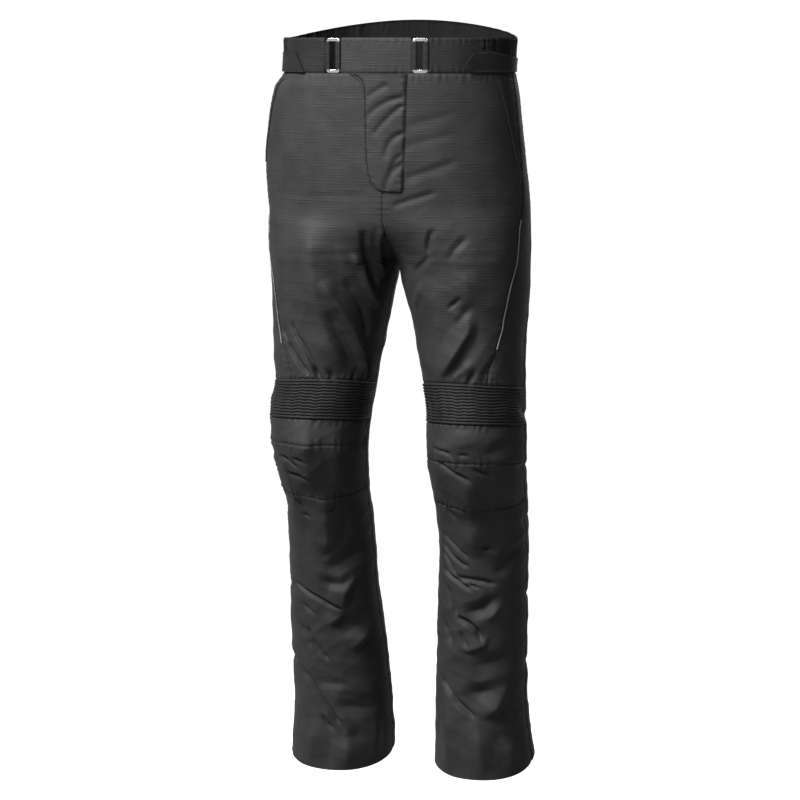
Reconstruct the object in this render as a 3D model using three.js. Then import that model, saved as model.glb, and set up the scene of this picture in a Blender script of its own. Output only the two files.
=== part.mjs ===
// Textile motorcycle trousers, hollow and filled out as if worn, with nobody in them.
// Millimetres, +Z up, +X the wearer's left, -Y the front.
// The origin is the middle of the waistband, where the hips hold the garment up.
// Every piece of cloth lies on one shape, found by place(): a side, a level on the centre line of
// that half, and an angle round it, -180 at the inseam, -90 in front, 0 outside and 90 behind.
import * as THREE from "three";

// Driving sizes
const CLOTH = 2; // outer cloth with its drop liner
const TRIM = 1.5; // single cloth laid on a panel
const SEAM_GAP = 0.3; // between two pieces that are sewn together
const FULLNESS = 0.035; // how far a section stands out from an ellipse at its four corners
const WAIST_TOP = 23;
const WAIST_SEAM = -25;
const BACK_RISE = 25; // the waistband climbs this much to the middle of the back
const STRETCH_TOP = -463; // ribbed stretch panel above the knee
const STRETCH_BOTTOM = -514;
const KNEE_SEAM = { right: -549, left: -566 }; // across the top of each knee cup
const SHIN_SEAM = { right: -617, left: -626 }; // across the bottom of each knee cup
const HEM = -1036;
const CROTCH = -285;
const RIBS = 9;
const RIB_HEIGHT = 3;

const SIDES = { right: -1, left: 1 };

// Rows of a table as objects with named columns
function table(columns, rows) {
  return rows.map((row) => Object.fromEntries(columns.map((name, i) => [name, row[i]])));
}

// Hips: reach of each side from the middle, depth to the front and back, and how far the middle
// seam has sunk between the thighs, from 0 for one round section to 1 for two closed legs
const HIPS = table(
  ["level", "rightOuter", "leftOuter", "front", "back", "centre", "cleft"],
  [
    [70, 163.5, 165, 107, 116, 0, 0],
    [20, 163.5, 164, 107, 116, 0, 0],
    [-25, 164.5, 162.5, 107, 116, 0, 0],
    [-45, 178, 166, 108, 118, 0, 0],
    [-90, 187, 171, 109, 126, 0, 0],
    [-150, 191, 177, 110, 136, 0, 0],
    [-200, 189, 183, 109, 139, 0, 0.02],
    [-220, 187, 184, 108, 138, 0, 0.13],
    [-233, 187, 184, 108, 136, 0, 0.27],
    [-245, 186, 184, 107, 134, 0, 0.43],
    [-255, 186, 184, 106, 132, 0, 0.58],
    [-264, 185, 184, 106, 129, 0, 0.72],
    [-272, 185, 184, 105, 126, 0, 0.84],
    [-279, 184, 184, 105, 123, 0, 0.93],
  ],
);

// Legs: outer and inner edge of each, depths from the centre line, where that line runs, and
// how many degrees the front of the section is lifted
const LEGS = table(
  ["level", "rightOuter", "rightInner", "leftOuter", "leftInner", "front", "back", "centre", "tilt"],
  [
    [CROTCH, 184, 0.3, 184, 0.3, 104, 121, 0, 0],
    [-320, 182, 9, 184, 8, 101, 112, 0, 1],
    [-370, 181, 19, 181, 21, 96, 102, 1, 3],
    [-430, 179, 31, 179, 33, 90, 92, -4, 6],
    [-463, 176, 36, 179, 39, 87, 87, -6, 7],
    [-500, 183, 41, 182, 45, 86, 83, -11, 7],
    [-545, 182, 46, 184, 45, 86, 79, -13, 6],
    [-590, 178, 50, 182, 46, 82, 76, 2, 1],
    [-640, 172, 54, 179, 49, 74, 76, 30, -6],
    [-700, 175, 52, 178, 50, 70, 78, 48, -9],
    [-780, 176, 49, 176, 47, 70, 78, 60, -9],
    [-860, 178, 40, 174, 43, 72, 77, 73, -9],
    [-940, 177, 34, 173, 39, 75, 77, 82, -9],
    [-1000, 181, 32, 178, 37, 79, 80, 89, -9],
    [-1045, 185, 31, 184, 35, 84, 84, 93, -9],
  ],
);

// Where the seams up the outside run, in degrees round the leg
const SIDE_SEAMS = table(
  ["level", "insertEdge", "rightSeam", "leftSeam"],
  [
    [-25, -8, 7, 7],
    [-150, -10, 8, 8],
    [-210, -15, 8, 8],
    [-235, -20, 8, 8],
    [-280, -27, 7, 7],
    [-318, -37, 7, 7],
    [-350, -42, 6, 6],
    [-380, -46, 2, 3],
    [-405, -51, 0, 1],
    [-463, -62, -8, -1],
    [-628, -62, -24, -6],
    [-1030, -62, -24, -6],
  ],
);

// The largest folds. From and to are a level and an angle; bow bends the line sideways.
// A height above 0 is a ridge and below 0 a trough
const FOLDS = table(
  ["side", "level", "angle", "toLevel", "toAngle", "width", "height", "bow"],
  [
    ["right", -235, -103, -313, -152, 30, 2.6, 4],
    ["right", -271, -115, -356, -151, 26, 2.2, 3],
    ["right", -316, -99, -427, -145, 30, 3.2, -5],
    ["right", -332, -112, -416, -149, 24, -2.8, -4],
    ["right", -358, -88, -452, -128, 28, 3, -4],
    ["right", -362, -92, -442, -130, 22, -2.6, 3],
    ["right", -378, -65, -444, -99, 22, -2.6, -3],
    ["right", -408, -62, -450, -88, 20, -2, 2],
    ["left", -272, -114, -236, -78, 22, -2.4, 3],
    ["left", -298, -127, -271, -96, 22, -2.4, 2],
    ["left", -277, -92, -246, -65, 22, -2, 0],
    ["left", -356, -137, -308, -114, 28, 2.8, -3],
    ["left", -374, -93, -335, -72, 22, -2.2, 2],
    ["left", -450, -117, -378, -73, 34, -4.5, 5],
    ["left", -436, -128, -398, -104, 26, 2.6, 3],
    ["right", -568, -51, -571, -92, 20, -2.4, 2],
    ["right", -618, -55, -610, -118, 20, -2.6, -3],
    ["left", -562, -141, -567, -53, 22, -2.8, -4],
    ["left", -625, -110, -626, -64, 20, -2.4, 2],
    ["left", -668, -135, -700, -108, 24, -3, 3],
    ["right", -688, -78, -676, -114, 26, -2.4, 3],
    ["right", -734, -95, -712, -132, 30, -3.2, 3],
    ["right", -756, -50, -795, -114, 28, -3.8, 4],
    ["right", -745, -139, -806, -99, 34, 4.2, -8],
    ["right", -811, -97, -824, -150, 28, -3.8, 2],
    ["right", -829, -71, -871, -92, 24, -3, 3],
    ["right", -872, -110, -862, -150, 28, 2.6, 3],
    ["right", -892, -60, -964, -100, 28, -4, -4],
    ["right", -904, -76, -906, -118, 30, 3, 3],
    ["right", -975, -120, -958, -160, 26, -2.4, 3],
    ["left", -732, -118, -738, -58, 26, -3.4, 5],
    ["left", -736, -136, -823, -82, 26, -3.8, 7],
    ["left", -782, -105, -754, -67, 30, -3.6, -4],
    ["left", -840, -98, -842, -40, 26, -3.8, 4],
    ["left", -868, -110, -872, -60, 30, 3, -3],
    ["left", -906, -104, -892, -50, 28, -3.8, -4],
    ["left", -901, -137, -938, -86, 26, -3.8, 5],
    ["left", -945, -80, -975, -96, 30, 3.4, 2],
    ["right", -232, 96, -262, 148, 30, -3.2, 5],
    ["right", -300, 60, -338, 112, 32, -2.8, 5],
    ["right", -440, 70, -462, 130, 28, -3.4, 4],
    ["right", -500, 50, -512, 128, 30, -4.2, -4],
    ["right", -545, 66, -538, 150, 28, -4, 4],
    ["right", -588, 44, -600, 118, 30, -3.6, -4],
    ["right", -664, 70, -700, 128, 28, -3, 4],
    ["right", -770, 40, -806, 104, 30, -3.4, 5],
    ["right", -858, 78, -836, 146, 28, -3, -4],
    ["right", -930, 36, -962, 96, 30, -3, 4],
    ["left", -238, 100, -270, 152, 30, -3, 4],
    ["left", -322, 52, -352, 104, 32, -2.6, 4],
    ["left", -434, 78, -450, 138, 28, -3.2, -4],
    ["left", -486, 54, -502, 120, 30, -4.2, 4],
    ["left", -534, 60, -530, 144, 28, -4.2, -3],
    ["left", -580, 52, -594, 130, 30, -3.4, 4],
    ["left", -676, 46, -706, 108, 28, -3.2, -4],
    ["left", -752, 84, -780, 146, 30, -3, 4],
    ["left", -846, 40, -870, 106, 28, -3.4, 4],
    ["left", -948, 70, -926, 138, 30, -3, -4],
  ],
);

// Numbers that change smoothly between a table's rows, without overshoot
function track(rows, value) {
  const at = rows.map((row) => row.level);
  const y = rows.map(value);
  const slope = y.slice(1).map((v, i) => (v - y[i]) / (at[i + 1] - at[i]));
  const tangent = y.map((_, i) => {
    if (i === 0) return slope[0];
    if (i === y.length - 1) return slope[i - 1];
    if (slope[i - 1] * slope[i] <= 0) return 0;
    return (2 * slope[i - 1] * slope[i]) / (slope[i - 1] + slope[i]);
  });
  return (level) => {
    const last = at.length - 2;
    let i = 0;
    while (i < last && level < at[i + 1]) i += 1;
    const width = at[i + 1] - at[i];
    const t = THREE.MathUtils.clamp((level - at[i]) / width, 0, 1);
    return (
      y[i] * (1 + 2 * t) * (1 - t) ** 2 +
      tangent[i] * width * t * (1 - t) ** 2 +
      y[i + 1] * t * t * (3 - 2 * t) -
      tangent[i + 1] * width * t * t * (1 - t)
    );
  };
}

// Hips and legs as one run of sections. A split over 1 is a leg clear of the middle
const SECTIONS = [...HIPS, ...LEGS];
const splitOf = (row, side) => {
  if (row.cleft !== undefined) return row.cleft;
  const outer = row[side + "Outer"];
  const inner = row[side + "Inner"];
  return (outer + inner) / (outer - inner);
};
const front = track(SECTIONS, (row) => row.front);
const back = track(SECTIONS, (row) => row.back);
const centre = track(SECTIONS, (row) => row.centre);
const tilt = track(SECTIONS, (row) => row.tilt ?? 0);
const outer = {
  right: track(SECTIONS, (row) => row.rightOuter),
  left: track(SECTIONS, (row) => row.leftOuter),
};
const split = {
  right: track(SECTIONS, (row) => splitOf(row, "right")),
  left: track(SECTIONS, (row) => splitOf(row, "left")),
};
const insertEdge = track(SIDE_SEAMS, (row) => row.insertEdge);
const sideSeam = {
  right: track(SIDE_SEAMS, (row) => row.rightSeam),
  left: track(SIDE_SEAMS, (row) => row.leftSeam),
};

const halfWidth = (side, level) => outer[side](level) / (1 + split[side](level));
const middle = (side, level) => split[side](level) * halfWidth(side, level);
const corner = (angle) => 1 + FULLNESS * Math.sin(2 * angle) ** 2;
const across = (side, level, angle) =>
  middle(side, level) + halfWidth(side, level) * Math.cos(angle) * corner(angle);

// A point of the smooth shape, with no folds
function smoothPoint(side, level, angle) {
  const depth = (angle < 0 ? front(level) : back(level)) * Math.sin(angle) * corner(angle);
  const lean = THREE.MathUtils.degToRad(tilt(level));
  return new THREE.Vector3(
    SIDES[side] * across(side, level, angle),
    centre(level) + depth * Math.cos(lean),
    level - depth * Math.sin(lean),
  );
}

function smoothNormal(side, level, angle) {
  const step = 1e-3;
  const round = smoothPoint(side, level, angle + step).sub(smoothPoint(side, level, angle - step));
  const up = smoothPoint(side, level + 1, angle).sub(smoothPoint(side, level - 1, angle));
  return round.cross(up).multiplyScalar(SIDES[side]).normalize();
}

// How far the folds move the cloth out at one place
function foldHeight(side, level, angle) {
  const radius = (halfWidth(side, level) + front(level)) / 2;
  let height = 0;
  for (const fold of FOLDS) {
    if (fold.side !== side) continue;
    const run = THREE.MathUtils.degToRad(fold.toAngle - fold.angle) * radius;
    const drop = fold.toLevel - fold.level;
    const length = Math.hypot(run, drop);
    const x = (angle - THREE.MathUtils.degToRad(fold.angle)) * radius;
    const y = level - fold.level;
    const t = THREE.MathUtils.clamp((x * run + y * drop) / length ** 2, 0, 1);
    const bend = 4 * fold.bow * t * (1 - t);
    const away = Math.hypot(
      x - run * t + (bend * drop) / length,
      y - drop * t - (bend * run) / length,
    );
    height += fold.height * Math.exp(-(((2 * away) / fold.width) ** 2));
  }
  return height;
}

// A place on the outside of the cloth, and the way out from it
function place(side, level, angle) {
  const normal = smoothNormal(side, level, angle);
  const point = smoothPoint(side, level, angle);
  return { point: point.addScaledVector(normal, foldHeight(side, level, angle)), normal };
}

// A place in front of the hips by its distance from the middle, which crosses the middle seam
function placeInFront(x, level) {
  const side = x < 0 ? "right" : "left";
  return place(side, level, -angleAcross(side, level, Math.abs(x)));
}

// The angle at which a section comes this close to the middle
function angleAcross(side, level, x) {
  let low = 0;
  let high = Math.PI;
  if (across(side, level, high) >= x) return high;
  for (let i = 0; i < 40; i += 1) {
    const mid = (low + high) / 2;
    if (across(side, level, mid) > x) low = mid;
    else high = mid;
  }
  return (low + high) / 2;
}

// Edge of a panel at the middle seam or, below the crotch, at the inseam
function innerAngle(side, level) {
  const inseam = Math.PI - SEAM_GAP / 2 / front(level);
  return Math.min(inseam, angleAcross(side, level, SEAM_GAP / 2));
}

const inDegrees = (side, level, degrees, gap) =>
  THREE.MathUtils.degToRad(degrees) + gap / Math.max(halfWidth(side, level), front(level));

// Fractions from 0 to 1 in even steps
const even = (count) => Array.from({ length: count + 1 }, (_, i) => i / count);

// A closed wall over a grid of places. at(u, v) gives a place, and relief(u, v) raises the outside
function wall(name, material, columns, rows, at, options = {}) {
  const { thickness = CLOTH, lift = 0, relief = () => 0 } = options;
  const outside = [];
  const inside = [];
  for (const v of rows) {
    for (const u of columns) {
      const { point, normal } = at(u, v);
      outside.push(point.clone().addScaledVector(normal, lift + relief(u, v)));
      inside.push(point.clone().addScaledVector(normal, lift - thickness));
    }
  }
  const wide = columns.length;
  const tall = rows.length;
  const offset = outside.length;
  const index = [];
  const quad = (a, b, c, d) => index.push(a, b, c, a, c, d);
  for (let j = 0; j < tall - 1; j += 1) {
    for (let i = 0; i < wide - 1; i += 1) {
      const a = j * wide + i;
      quad(a, a + wide, a + wide + 1, a + 1);
      quad(offset + a, offset + a + 1, offset + a + wide + 1, offset + a + wide);
    }
  }
  for (let j = 0; j < tall - 1; j += 1) {
    const first = j * wide;
    const last = first + wide - 1;
    quad(first, offset + first, offset + first + wide, first + wide);
    quad(last, last + wide, offset + last + wide, offset + last);
  }
  for (let i = 0; i < wide - 1; i += 1) {
    const low = (tall - 1) * wide + i;
    quad(i, i + 1, offset + i + 1, offset + i);
    quad(low, offset + low, offset + low + 1, low + 1);
  }
  const points = [...outside, ...inside];
  let volume = 0;
  for (let i = 0; i < index.length; i += 3) {
    const [a, b, c] = index.slice(i, i + 3).map((k) => points[k]);
    volume += a.dot(b.clone().cross(c));
  }
  if (volume < 0) index.reverse();
  const geometry = new THREE.BufferGeometry().setFromPoints(points);
  geometry.setIndex(index);
  geometry.computeVertexNormals();
  const mesh = new THREE.Mesh(geometry, material);
  mesh.name = name;
  return mesh;
}

// A panel between two levels and two edges round the leg. Both levels may change across it
function panel(side, top, bottom, from, to) {
  return (u, v) => {
    const high = typeof top === "function" ? top(u) : top;
    const low = typeof bottom === "function" ? bottom(u) : bottom;
    const level = THREE.MathUtils.lerp(high, low, v);
    return place(side, level, THREE.MathUtils.lerp(from(level), to(level), u));
  };
}

const MATERIALS = {
  cloth: new THREE.MeshStandardMaterial({ color: 0x2e2e30, roughness: 0.72, metalness: 0 }),
  stretch: new THREE.MeshStandardMaterial({ color: 0x222224, roughness: 0.85, metalness: 0 }),
  piping: new THREE.MeshStandardMaterial({ color: 0x8d8f92, roughness: 0.45, metalness: 0 }),
  metal: new THREE.MeshStandardMaterial({ color: 0x6c6d6f, roughness: 0.3, metalness: 1 }),
};

const trousers = new THREE.Group();

// Levels of the rows from the waistband to the knee, closest together round the crotch
const THIGH_LEVELS = [
  WAIST_SEAM - SEAM_GAP / 2, -34, -45, -67, -90, -113, -136, -160, -182, -202,
  -220, -233, -245, -255, -264, -272, -279, CROTCH,
  -300, -320, -342, -366, -390, -414, -438, STRETCH_TOP,
];

// As many rows as asked for, evenly apart between two levels
const levelsBetween = (top, bottom, rows) => even(rows).map((t) => THREE.MathUtils.lerp(top, bottom, t));
const kneeTopLevels = (side) => levelsBetween(STRETCH_BOTTOM, KNEE_SEAM[side], 2);
const kneeCupLevels = (side) => levelsBetween(KNEE_SEAM[side], SHIN_SEAM[side], 4);
const shinLevels = (side) => levelsBetween(SHIN_SEAM[side], HEM, 18);

const fractionsOf = (levels) =>
  levels.map((level) => (level - levels[0]) / (levels[levels.length - 1] - levels[0]));

const frontInner = (side) => (level) => -innerAngle(side, level);
const insertFront = (side, gap) => (level) => inDegrees(side, level, insertEdge(level), gap);
const seamAt = (side, gap) => (level) => inDegrees(side, level, sideSeam[side](level), gap);

// Front panels are 12 squares wide as far as the outer insert, and 15 wide below it
const INSERT_AT = 0.8;
const FRONT_COLUMNS = even(12);
const INSERT_COLUMNS = even(3);
const LOWER_COLUMNS = even(15);

// The top edge of the ribbed panel rises a little in the middle of the leg
const stretchTop = (u) => STRETCH_TOP + 5 * Math.sin(Math.PI * u);

// A panel as wide as the front and the insert together, with its squares in line with theirs
function lowerPanel(side, top, bottom, inner, seam) {
  return (u, v) => {
    const high = typeof top === "function" ? top(u) : top;
    const level = THREE.MathUtils.lerp(high, bottom, v);
    const edge = insertFront(side, 0)(level);
    const angle =
      u < INSERT_AT
        ? THREE.MathUtils.lerp(inner(level), edge, u / INSERT_AT)
        : THREE.MathUtils.lerp(edge, seam(level), (u - INSERT_AT) / (1 - INSERT_AT));
    return place(side, level, angle);
  };
}

function frontPanels(side) {
  const half = SEAM_GAP / 2;
  const inner = frontInner(side);
  const seam = seamAt(side, -half);
  const thighTop = THIGH_LEVELS[0];
  const thigh = panel(
    side,
    thighTop,
    (u) => stretchTop(u * INSERT_AT) + half,
    inner,
    insertFront(side, -half),
  );
  trousers.add(
    wall("front_" + side, MATERIALS.cloth, FRONT_COLUMNS, fractionsOf(THIGH_LEVELS), thigh),
  );

  const insert = panel(
    side,
    thighTop,
    (u) => stretchTop(INSERT_AT + u * (1 - INSERT_AT)) + half,
    insertFront(side, half),
    seam,
  );
  trousers.add(
    wall("side_insert_" + side, MATERIALS.cloth, INSERT_COLUMNS, fractionsOf(THIGH_LEVELS), insert),
  );

  // Two rows to a rib, its valley and its crest, which sinks towards both ends
  const ribs = (u, v) => {
    const ends = Math.min(1, 6 * Math.min(u, 1 - u));
    return RIB_HEIGHT * (Math.round(v * RIBS * 2) % 2) * (0.35 + 0.65 * ends);
  };
  trousers.add(
    wall(
      "knee_stretch_" + side,
      MATERIALS.stretch,
      LOWER_COLUMNS,
      even(RIBS * 2),
      lowerPanel(side, (u) => stretchTop(u) - half, STRETCH_BOTTOM + half, inner, seam),
      { relief: ribs, thickness: 1.6 },
    ),
  );
  trousers.add(
    wall(
      "knee_top_" + side,
      MATERIALS.cloth,
      LOWER_COLUMNS,
      fractionsOf(kneeTopLevels(side)),
      lowerPanel(side, STRETCH_BOTTOM - half, KNEE_SEAM[side] + half, inner, seam),
    ),
  );
  trousers.add(
    wall(
      "knee_cup_" + side,
      MATERIALS.cloth,
      LOWER_COLUMNS,
      fractionsOf(kneeCupLevels(side)),
      lowerPanel(side, KNEE_SEAM[side] - half, SHIN_SEAM[side] + half, inner, seam),
    ),
  );
  trousers.add(
    wall(
      "shin_" + side,
      MATERIALS.cloth,
      LOWER_COLUMNS,
      fractionsOf(shinLevels(side)),
      lowerPanel(side, SHIN_SEAM[side] - half, HEM, inner, seam),
    ),
  );
}

const backLevels = (side) => [
  ...THIGH_LEVELS,
  -480, -497,
  ...kneeTopLevels(side),
  ...kneeCupLevels(side).slice(1),
  ...shinLevels(side).slice(1),
];

function backPanel(side) {
  const from = seamAt(side, SEAM_GAP / 2);
  const to = (level) => innerAngle(side, level);
  trousers.add(
    wall(
      "back_" + side,
      MATERIALS.cloth,
      even(10),
      fractionsOf(backLevels(side)),
      panel(side, THIGH_LEVELS[0], HEM, from, to),
    ),
  );
}

// A place on the waistband by its turn round the body: 0 in front, 90 at the wearer's left side
// and 180 behind
function waistPlace(level, turn) {
  const signed = turn > 180 ? turn - 360 : turn;
  const side = signed < 0 ? "right" : "left";
  return place(side, level, THREE.MathUtils.degToRad(Math.abs(signed) - 90));
}

function waistTop(turn) {
  const behind = Math.max(0, Math.sin(THREE.MathUtils.degToRad(turn - 90)));
  return WAIST_TOP + BACK_RISE * (turn > 90 && turn < 270 ? behind ** 2 : 0);
}

// Millimetres along the waist as degrees of turn
function waistDegrees(turn, length) {
  const a = waistPlace(0, turn - 0.5).point;
  const b = waistPlace(0, turn + 0.5).point;
  return length / a.distanceTo(b);
}

// The metal loops that join the middle of the waistband to its two sides
const LOOPS = table(["side", "turn"], [["right", -25.5], ["left", 17.8]]);
const LOOP_HEIGHT = 47;
const LOOP_WIDTH = 20.4;
const LOOP_BAR = 4.6;
const LOOP_THICK = 2;
const KEEPER_CLEAR = 0.3; // between the metal and the cloth folded round it
const KEEPER_WALL = 1.5;
const KEEPER_GAP = 0.7; // from a flat keeper to the curved band beside it
const LOOP_LEVEL = -1;

const barOffset = (LOOP_WIDTH - LOOP_BAR) / 2;
const keeperHalf = LOOP_BAR / 2 + KEEPER_CLEAR + KEEPER_WALL;
const besideLoop = (turn, way) =>
  turn + way * waistDegrees(turn, barOffset + keeperHalf + KEEPER_GAP);

function band(name, material, fromTurn, toTurn, columns) {
  const at = (u, v) => {
    const turn = THREE.MathUtils.lerp(fromTurn, toTurn, u);
    return waistPlace(THREE.MathUtils.lerp(waistTop(turn), WAIST_SEAM + SEAM_GAP / 2, v), turn);
  };
  return wall(name, material, even(columns), even(3), at);
}

const ELASTIC = { left: 52, right: 296 };
const seamTurn = waistDegrees(90, SEAM_GAP / 2);
const [rightLoop, leftLoop] = LOOPS;
trousers.add(
  band("waist_tab", MATERIALS.cloth, besideLoop(rightLoop.turn, 1), besideLoop(leftLoop.turn, -1), 9),
  band(
    "waistband_front_right",
    MATERIALS.cloth,
    ELASTIC.right - 360 + seamTurn,
    besideLoop(rightLoop.turn, -1),
    10,
  ),
  band(
    "waistband_front_left",
    MATERIALS.cloth,
    besideLoop(leftLoop.turn, 1),
    ELASTIC.left - seamTurn,
    9,
  ),
  band("waistband_back", MATERIALS.stretch, ELASTIC.left + seamTurn, ELASTIC.right - seamTurn, 32),
);

// A rectangle with round corners, and with another one cut out of it
function frame(width, height, round, holeWidth, holeHeight, holeRound) {
  const outline = (path, w, h, r) => {
    path.moveTo(-w / 2 + r, -h / 2);
    path.lineTo(w / 2 - r, -h / 2);
    path.absarc(w / 2 - r, -h / 2 + r, r, -Math.PI / 2, 0);
    path.lineTo(w / 2, h / 2 - r);
    path.absarc(w / 2 - r, h / 2 - r, r, 0, Math.PI / 2);
    path.lineTo(-w / 2 + r, h / 2);
    path.absarc(-w / 2 + r, h / 2 - r, r, Math.PI / 2, Math.PI);
    path.lineTo(-w / 2, -h / 2 + r);
    path.absarc(-w / 2 + r, -h / 2 + r, r, Math.PI, 1.5 * Math.PI);
    return path;
  };
  const shape = outline(new THREE.Shape(), width, height, round);
  shape.holes.push(outline(new THREE.Path(), holeWidth, holeHeight, holeRound));
  return shape;
}

// The level frame of a loop: along the waist, straight up and straight out
function loopFrame(turn) {
  const { point, normal } = waistPlace(LOOP_LEVEL, turn);
  const out = new THREE.Vector3(normal.x, normal.y, 0).normalize();
  const along = new THREE.Vector3(0, 0, 1).cross(out).normalize();
  const basis = new THREE.Matrix4().makeBasis(along, new THREE.Vector3(0, 0, 1), out);
  return basis.setPosition(point.addScaledVector(out, -CLOTH / 2));
}

for (const { side, turn } of LOOPS) {
  const place = loopFrame(turn);
  const loopShape = frame(
    LOOP_WIDTH,
    LOOP_HEIGHT,
    2,
    LOOP_WIDTH - 2 * LOOP_BAR,
    LOOP_HEIGHT - 2 * LOOP_BAR,
    1,
  );
  const loop = new THREE.ExtrudeGeometry(loopShape, {
    depth: LOOP_THICK,
    bevelEnabled: false,
    curveSegments: 3,
  });
  loop.translate(0, 0, -LOOP_THICK / 2).applyMatrix4(place);
  const ring = new THREE.Mesh(loop, MATERIALS.metal);
  ring.name = "waist_loop_" + side;
  trousers.add(ring);

  const length = LOOP_HEIGHT - 2 * LOOP_BAR - 2 * KEEPER_CLEAR;
  for (const [where, way] of [["rear", -1], ["front", 1]]) {
    const inner = LOOP_BAR + 2 * KEEPER_CLEAR;
    const deep = LOOP_THICK + 2 * KEEPER_CLEAR;
    const fold = frame(2 * keeperHalf, deep + 2 * KEEPER_WALL, 2.2, inner, deep, 0.6);
    const keeper = new THREE.ExtrudeGeometry(fold, {
      depth: length,
      bevelEnabled: false,
      curveSegments: 3,
    });
    keeper.translate(0, 0, -length / 2).rotateX(Math.PI / 2);
    keeper.translate(way * SIDES[side] * -barOffset, 0, 0).applyMatrix4(place);
    const cloth = new THREE.Mesh(keeper, MATERIALS.cloth);
    cloth.name = "loop_keeper_" + side + "_" + where;
    trousers.add(cloth);
  }
}

// Tabs that take the waist in, laid on the band with their tips to the front
const RIGHT_TAB = { top: 3, bottom: -24, tipTop: -49.5, tipBottom: -42.5, end: -98 };
const LEFT_TAB = table(
  ["turn", "top", "bottom"],
  [
    [40.5, -12, -18],
    [42, -5, -21.5],
    [45, 2, -23.5],
    [49, 5.5, -24],
    [55, 6, -24],
    [64, 3, -24],
    [76, -1, -24],
    [88, -4, -24],
    [98, -6, -24],
  ],
);
trousers.add(
  wall(
    "adjuster_tab_right",
    MATERIALS.cloth,
    even(11),
    even(2),
    (u, v) => {
      const tip = THREE.MathUtils.lerp(RIGHT_TAB.tipTop, RIGHT_TAB.tipBottom, v);
      const level = THREE.MathUtils.lerp(RIGHT_TAB.top, RIGHT_TAB.bottom, v);
      return waistPlace(level, THREE.MathUtils.lerp(tip, RIGHT_TAB.end, u));
    },
    { thickness: TRIM, lift: TRIM + SEAM_GAP },
  ),
  wall(
    "adjuster_tab_left",
    MATERIALS.cloth,
    LEFT_TAB.flatMap((_, i) => (i < LEFT_TAB.length - 1 ? [i, i + 0.5] : [i])),
    even(2),
    (u, v) => {
      const row = LEFT_TAB[Math.floor(u)];
      const next = LEFT_TAB[Math.ceil(u)];
      const mix = (name) => THREE.MathUtils.lerp(row[name], next[name], u % 1);
      return waistPlace(THREE.MathUtils.lerp(mix("top"), mix("bottom"), v), mix("turn"));
    },
    { thickness: TRIM, lift: TRIM + SEAM_GAP },
  ),
);

// The fly, over the middle seam: its edges from the middle, and wider where it meets the waist
const FLY = table(
  ["level", "right", "left"],
  [
    [-25.3, -48, 33],
    [-29, -40, 33],
    [-35, -33, 33],
    [-44, -29.5, 32.5],
    [-60, -28, 32],
    [-80, -28, 31.5],
    [-100, -27.5, 31],
    [-120, -27, 30.5],
    [-140, -26, 29.5],
    [-158, -23.5, 29],
    [-171, -19, 29],
    [-179, -12, 28.5],
    [-184, -2, 28],
  ],
);
trousers.add(
  wall(
    "fly",
    MATERIALS.cloth,
    even(8),
    FLY.map((_, i) => i),
    (u, v) => placeInFront(THREE.MathUtils.lerp(FLY[v].right, FLY[v].left, u), FLY[v].level),
    { thickness: TRIM, lift: TRIM + SEAM_GAP },
  ),
);

// Welts along the slanted pocket mouths, and piping down the front edge of each insert
const WELT = { fromAngle: -27, toAngle: -15, width: 9 };
const WELT_LEVELS = [-34, -45, -67, -90, -113, -136, -150];
const PIPING = { top: -225, bottom: -407, width: 3 };

function trims(side) {
  const welt = (u, v) => {
    const level = THREE.MathUtils.lerp(WELT_LEVELS[0], WELT_LEVELS[6], v);
    const angle = THREE.MathUtils.lerp(WELT.fromAngle, WELT.toAngle, v);
    return place(side, level, inDegrees(side, level, angle, (u - 0.5) * WELT.width));
  };
  const piping = (u, v) => {
    const level = THREE.MathUtils.lerp(PIPING.top, PIPING.bottom, v);
    return place(side, level, insertFront(side, (u - 0.5) * PIPING.width)(level));
  };
  trousers.add(
    wall("pocket_welt_" + side, MATERIALS.cloth, even(2), fractionsOf(WELT_LEVELS), welt, {
      thickness: 1,
      lift: 1 + SEAM_GAP,
    }),
    wall("piping_" + side, MATERIALS.piping, even(2), even(10), piping, {
      thickness: 1,
      lift: 1 + SEAM_GAP,
    }),
  );
}

for (const side of Object.keys(SIDES)) {
  frontPanels(side);
  backPanel(side);
  trims(side);
}

export default trousers;
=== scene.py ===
import math

import bpy
import numpy as np
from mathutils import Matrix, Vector


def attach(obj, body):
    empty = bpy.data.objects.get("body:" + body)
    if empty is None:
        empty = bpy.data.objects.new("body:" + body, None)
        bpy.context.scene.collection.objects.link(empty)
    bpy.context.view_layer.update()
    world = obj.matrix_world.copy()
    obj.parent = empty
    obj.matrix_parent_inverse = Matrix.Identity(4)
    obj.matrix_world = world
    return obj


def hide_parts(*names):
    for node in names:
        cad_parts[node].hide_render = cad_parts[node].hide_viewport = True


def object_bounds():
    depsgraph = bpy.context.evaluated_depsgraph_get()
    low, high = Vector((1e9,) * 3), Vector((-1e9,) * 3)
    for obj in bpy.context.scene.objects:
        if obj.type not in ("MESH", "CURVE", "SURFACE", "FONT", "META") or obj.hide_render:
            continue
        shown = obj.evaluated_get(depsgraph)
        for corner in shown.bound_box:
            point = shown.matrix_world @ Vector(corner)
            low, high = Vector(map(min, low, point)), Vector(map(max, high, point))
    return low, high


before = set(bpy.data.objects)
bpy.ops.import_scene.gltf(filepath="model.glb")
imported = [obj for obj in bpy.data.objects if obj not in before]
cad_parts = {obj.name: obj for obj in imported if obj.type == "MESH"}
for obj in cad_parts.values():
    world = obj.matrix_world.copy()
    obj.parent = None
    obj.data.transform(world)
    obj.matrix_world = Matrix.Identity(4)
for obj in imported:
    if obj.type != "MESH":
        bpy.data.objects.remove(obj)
cad_low, cad_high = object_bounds()

MM = 0.001

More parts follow.
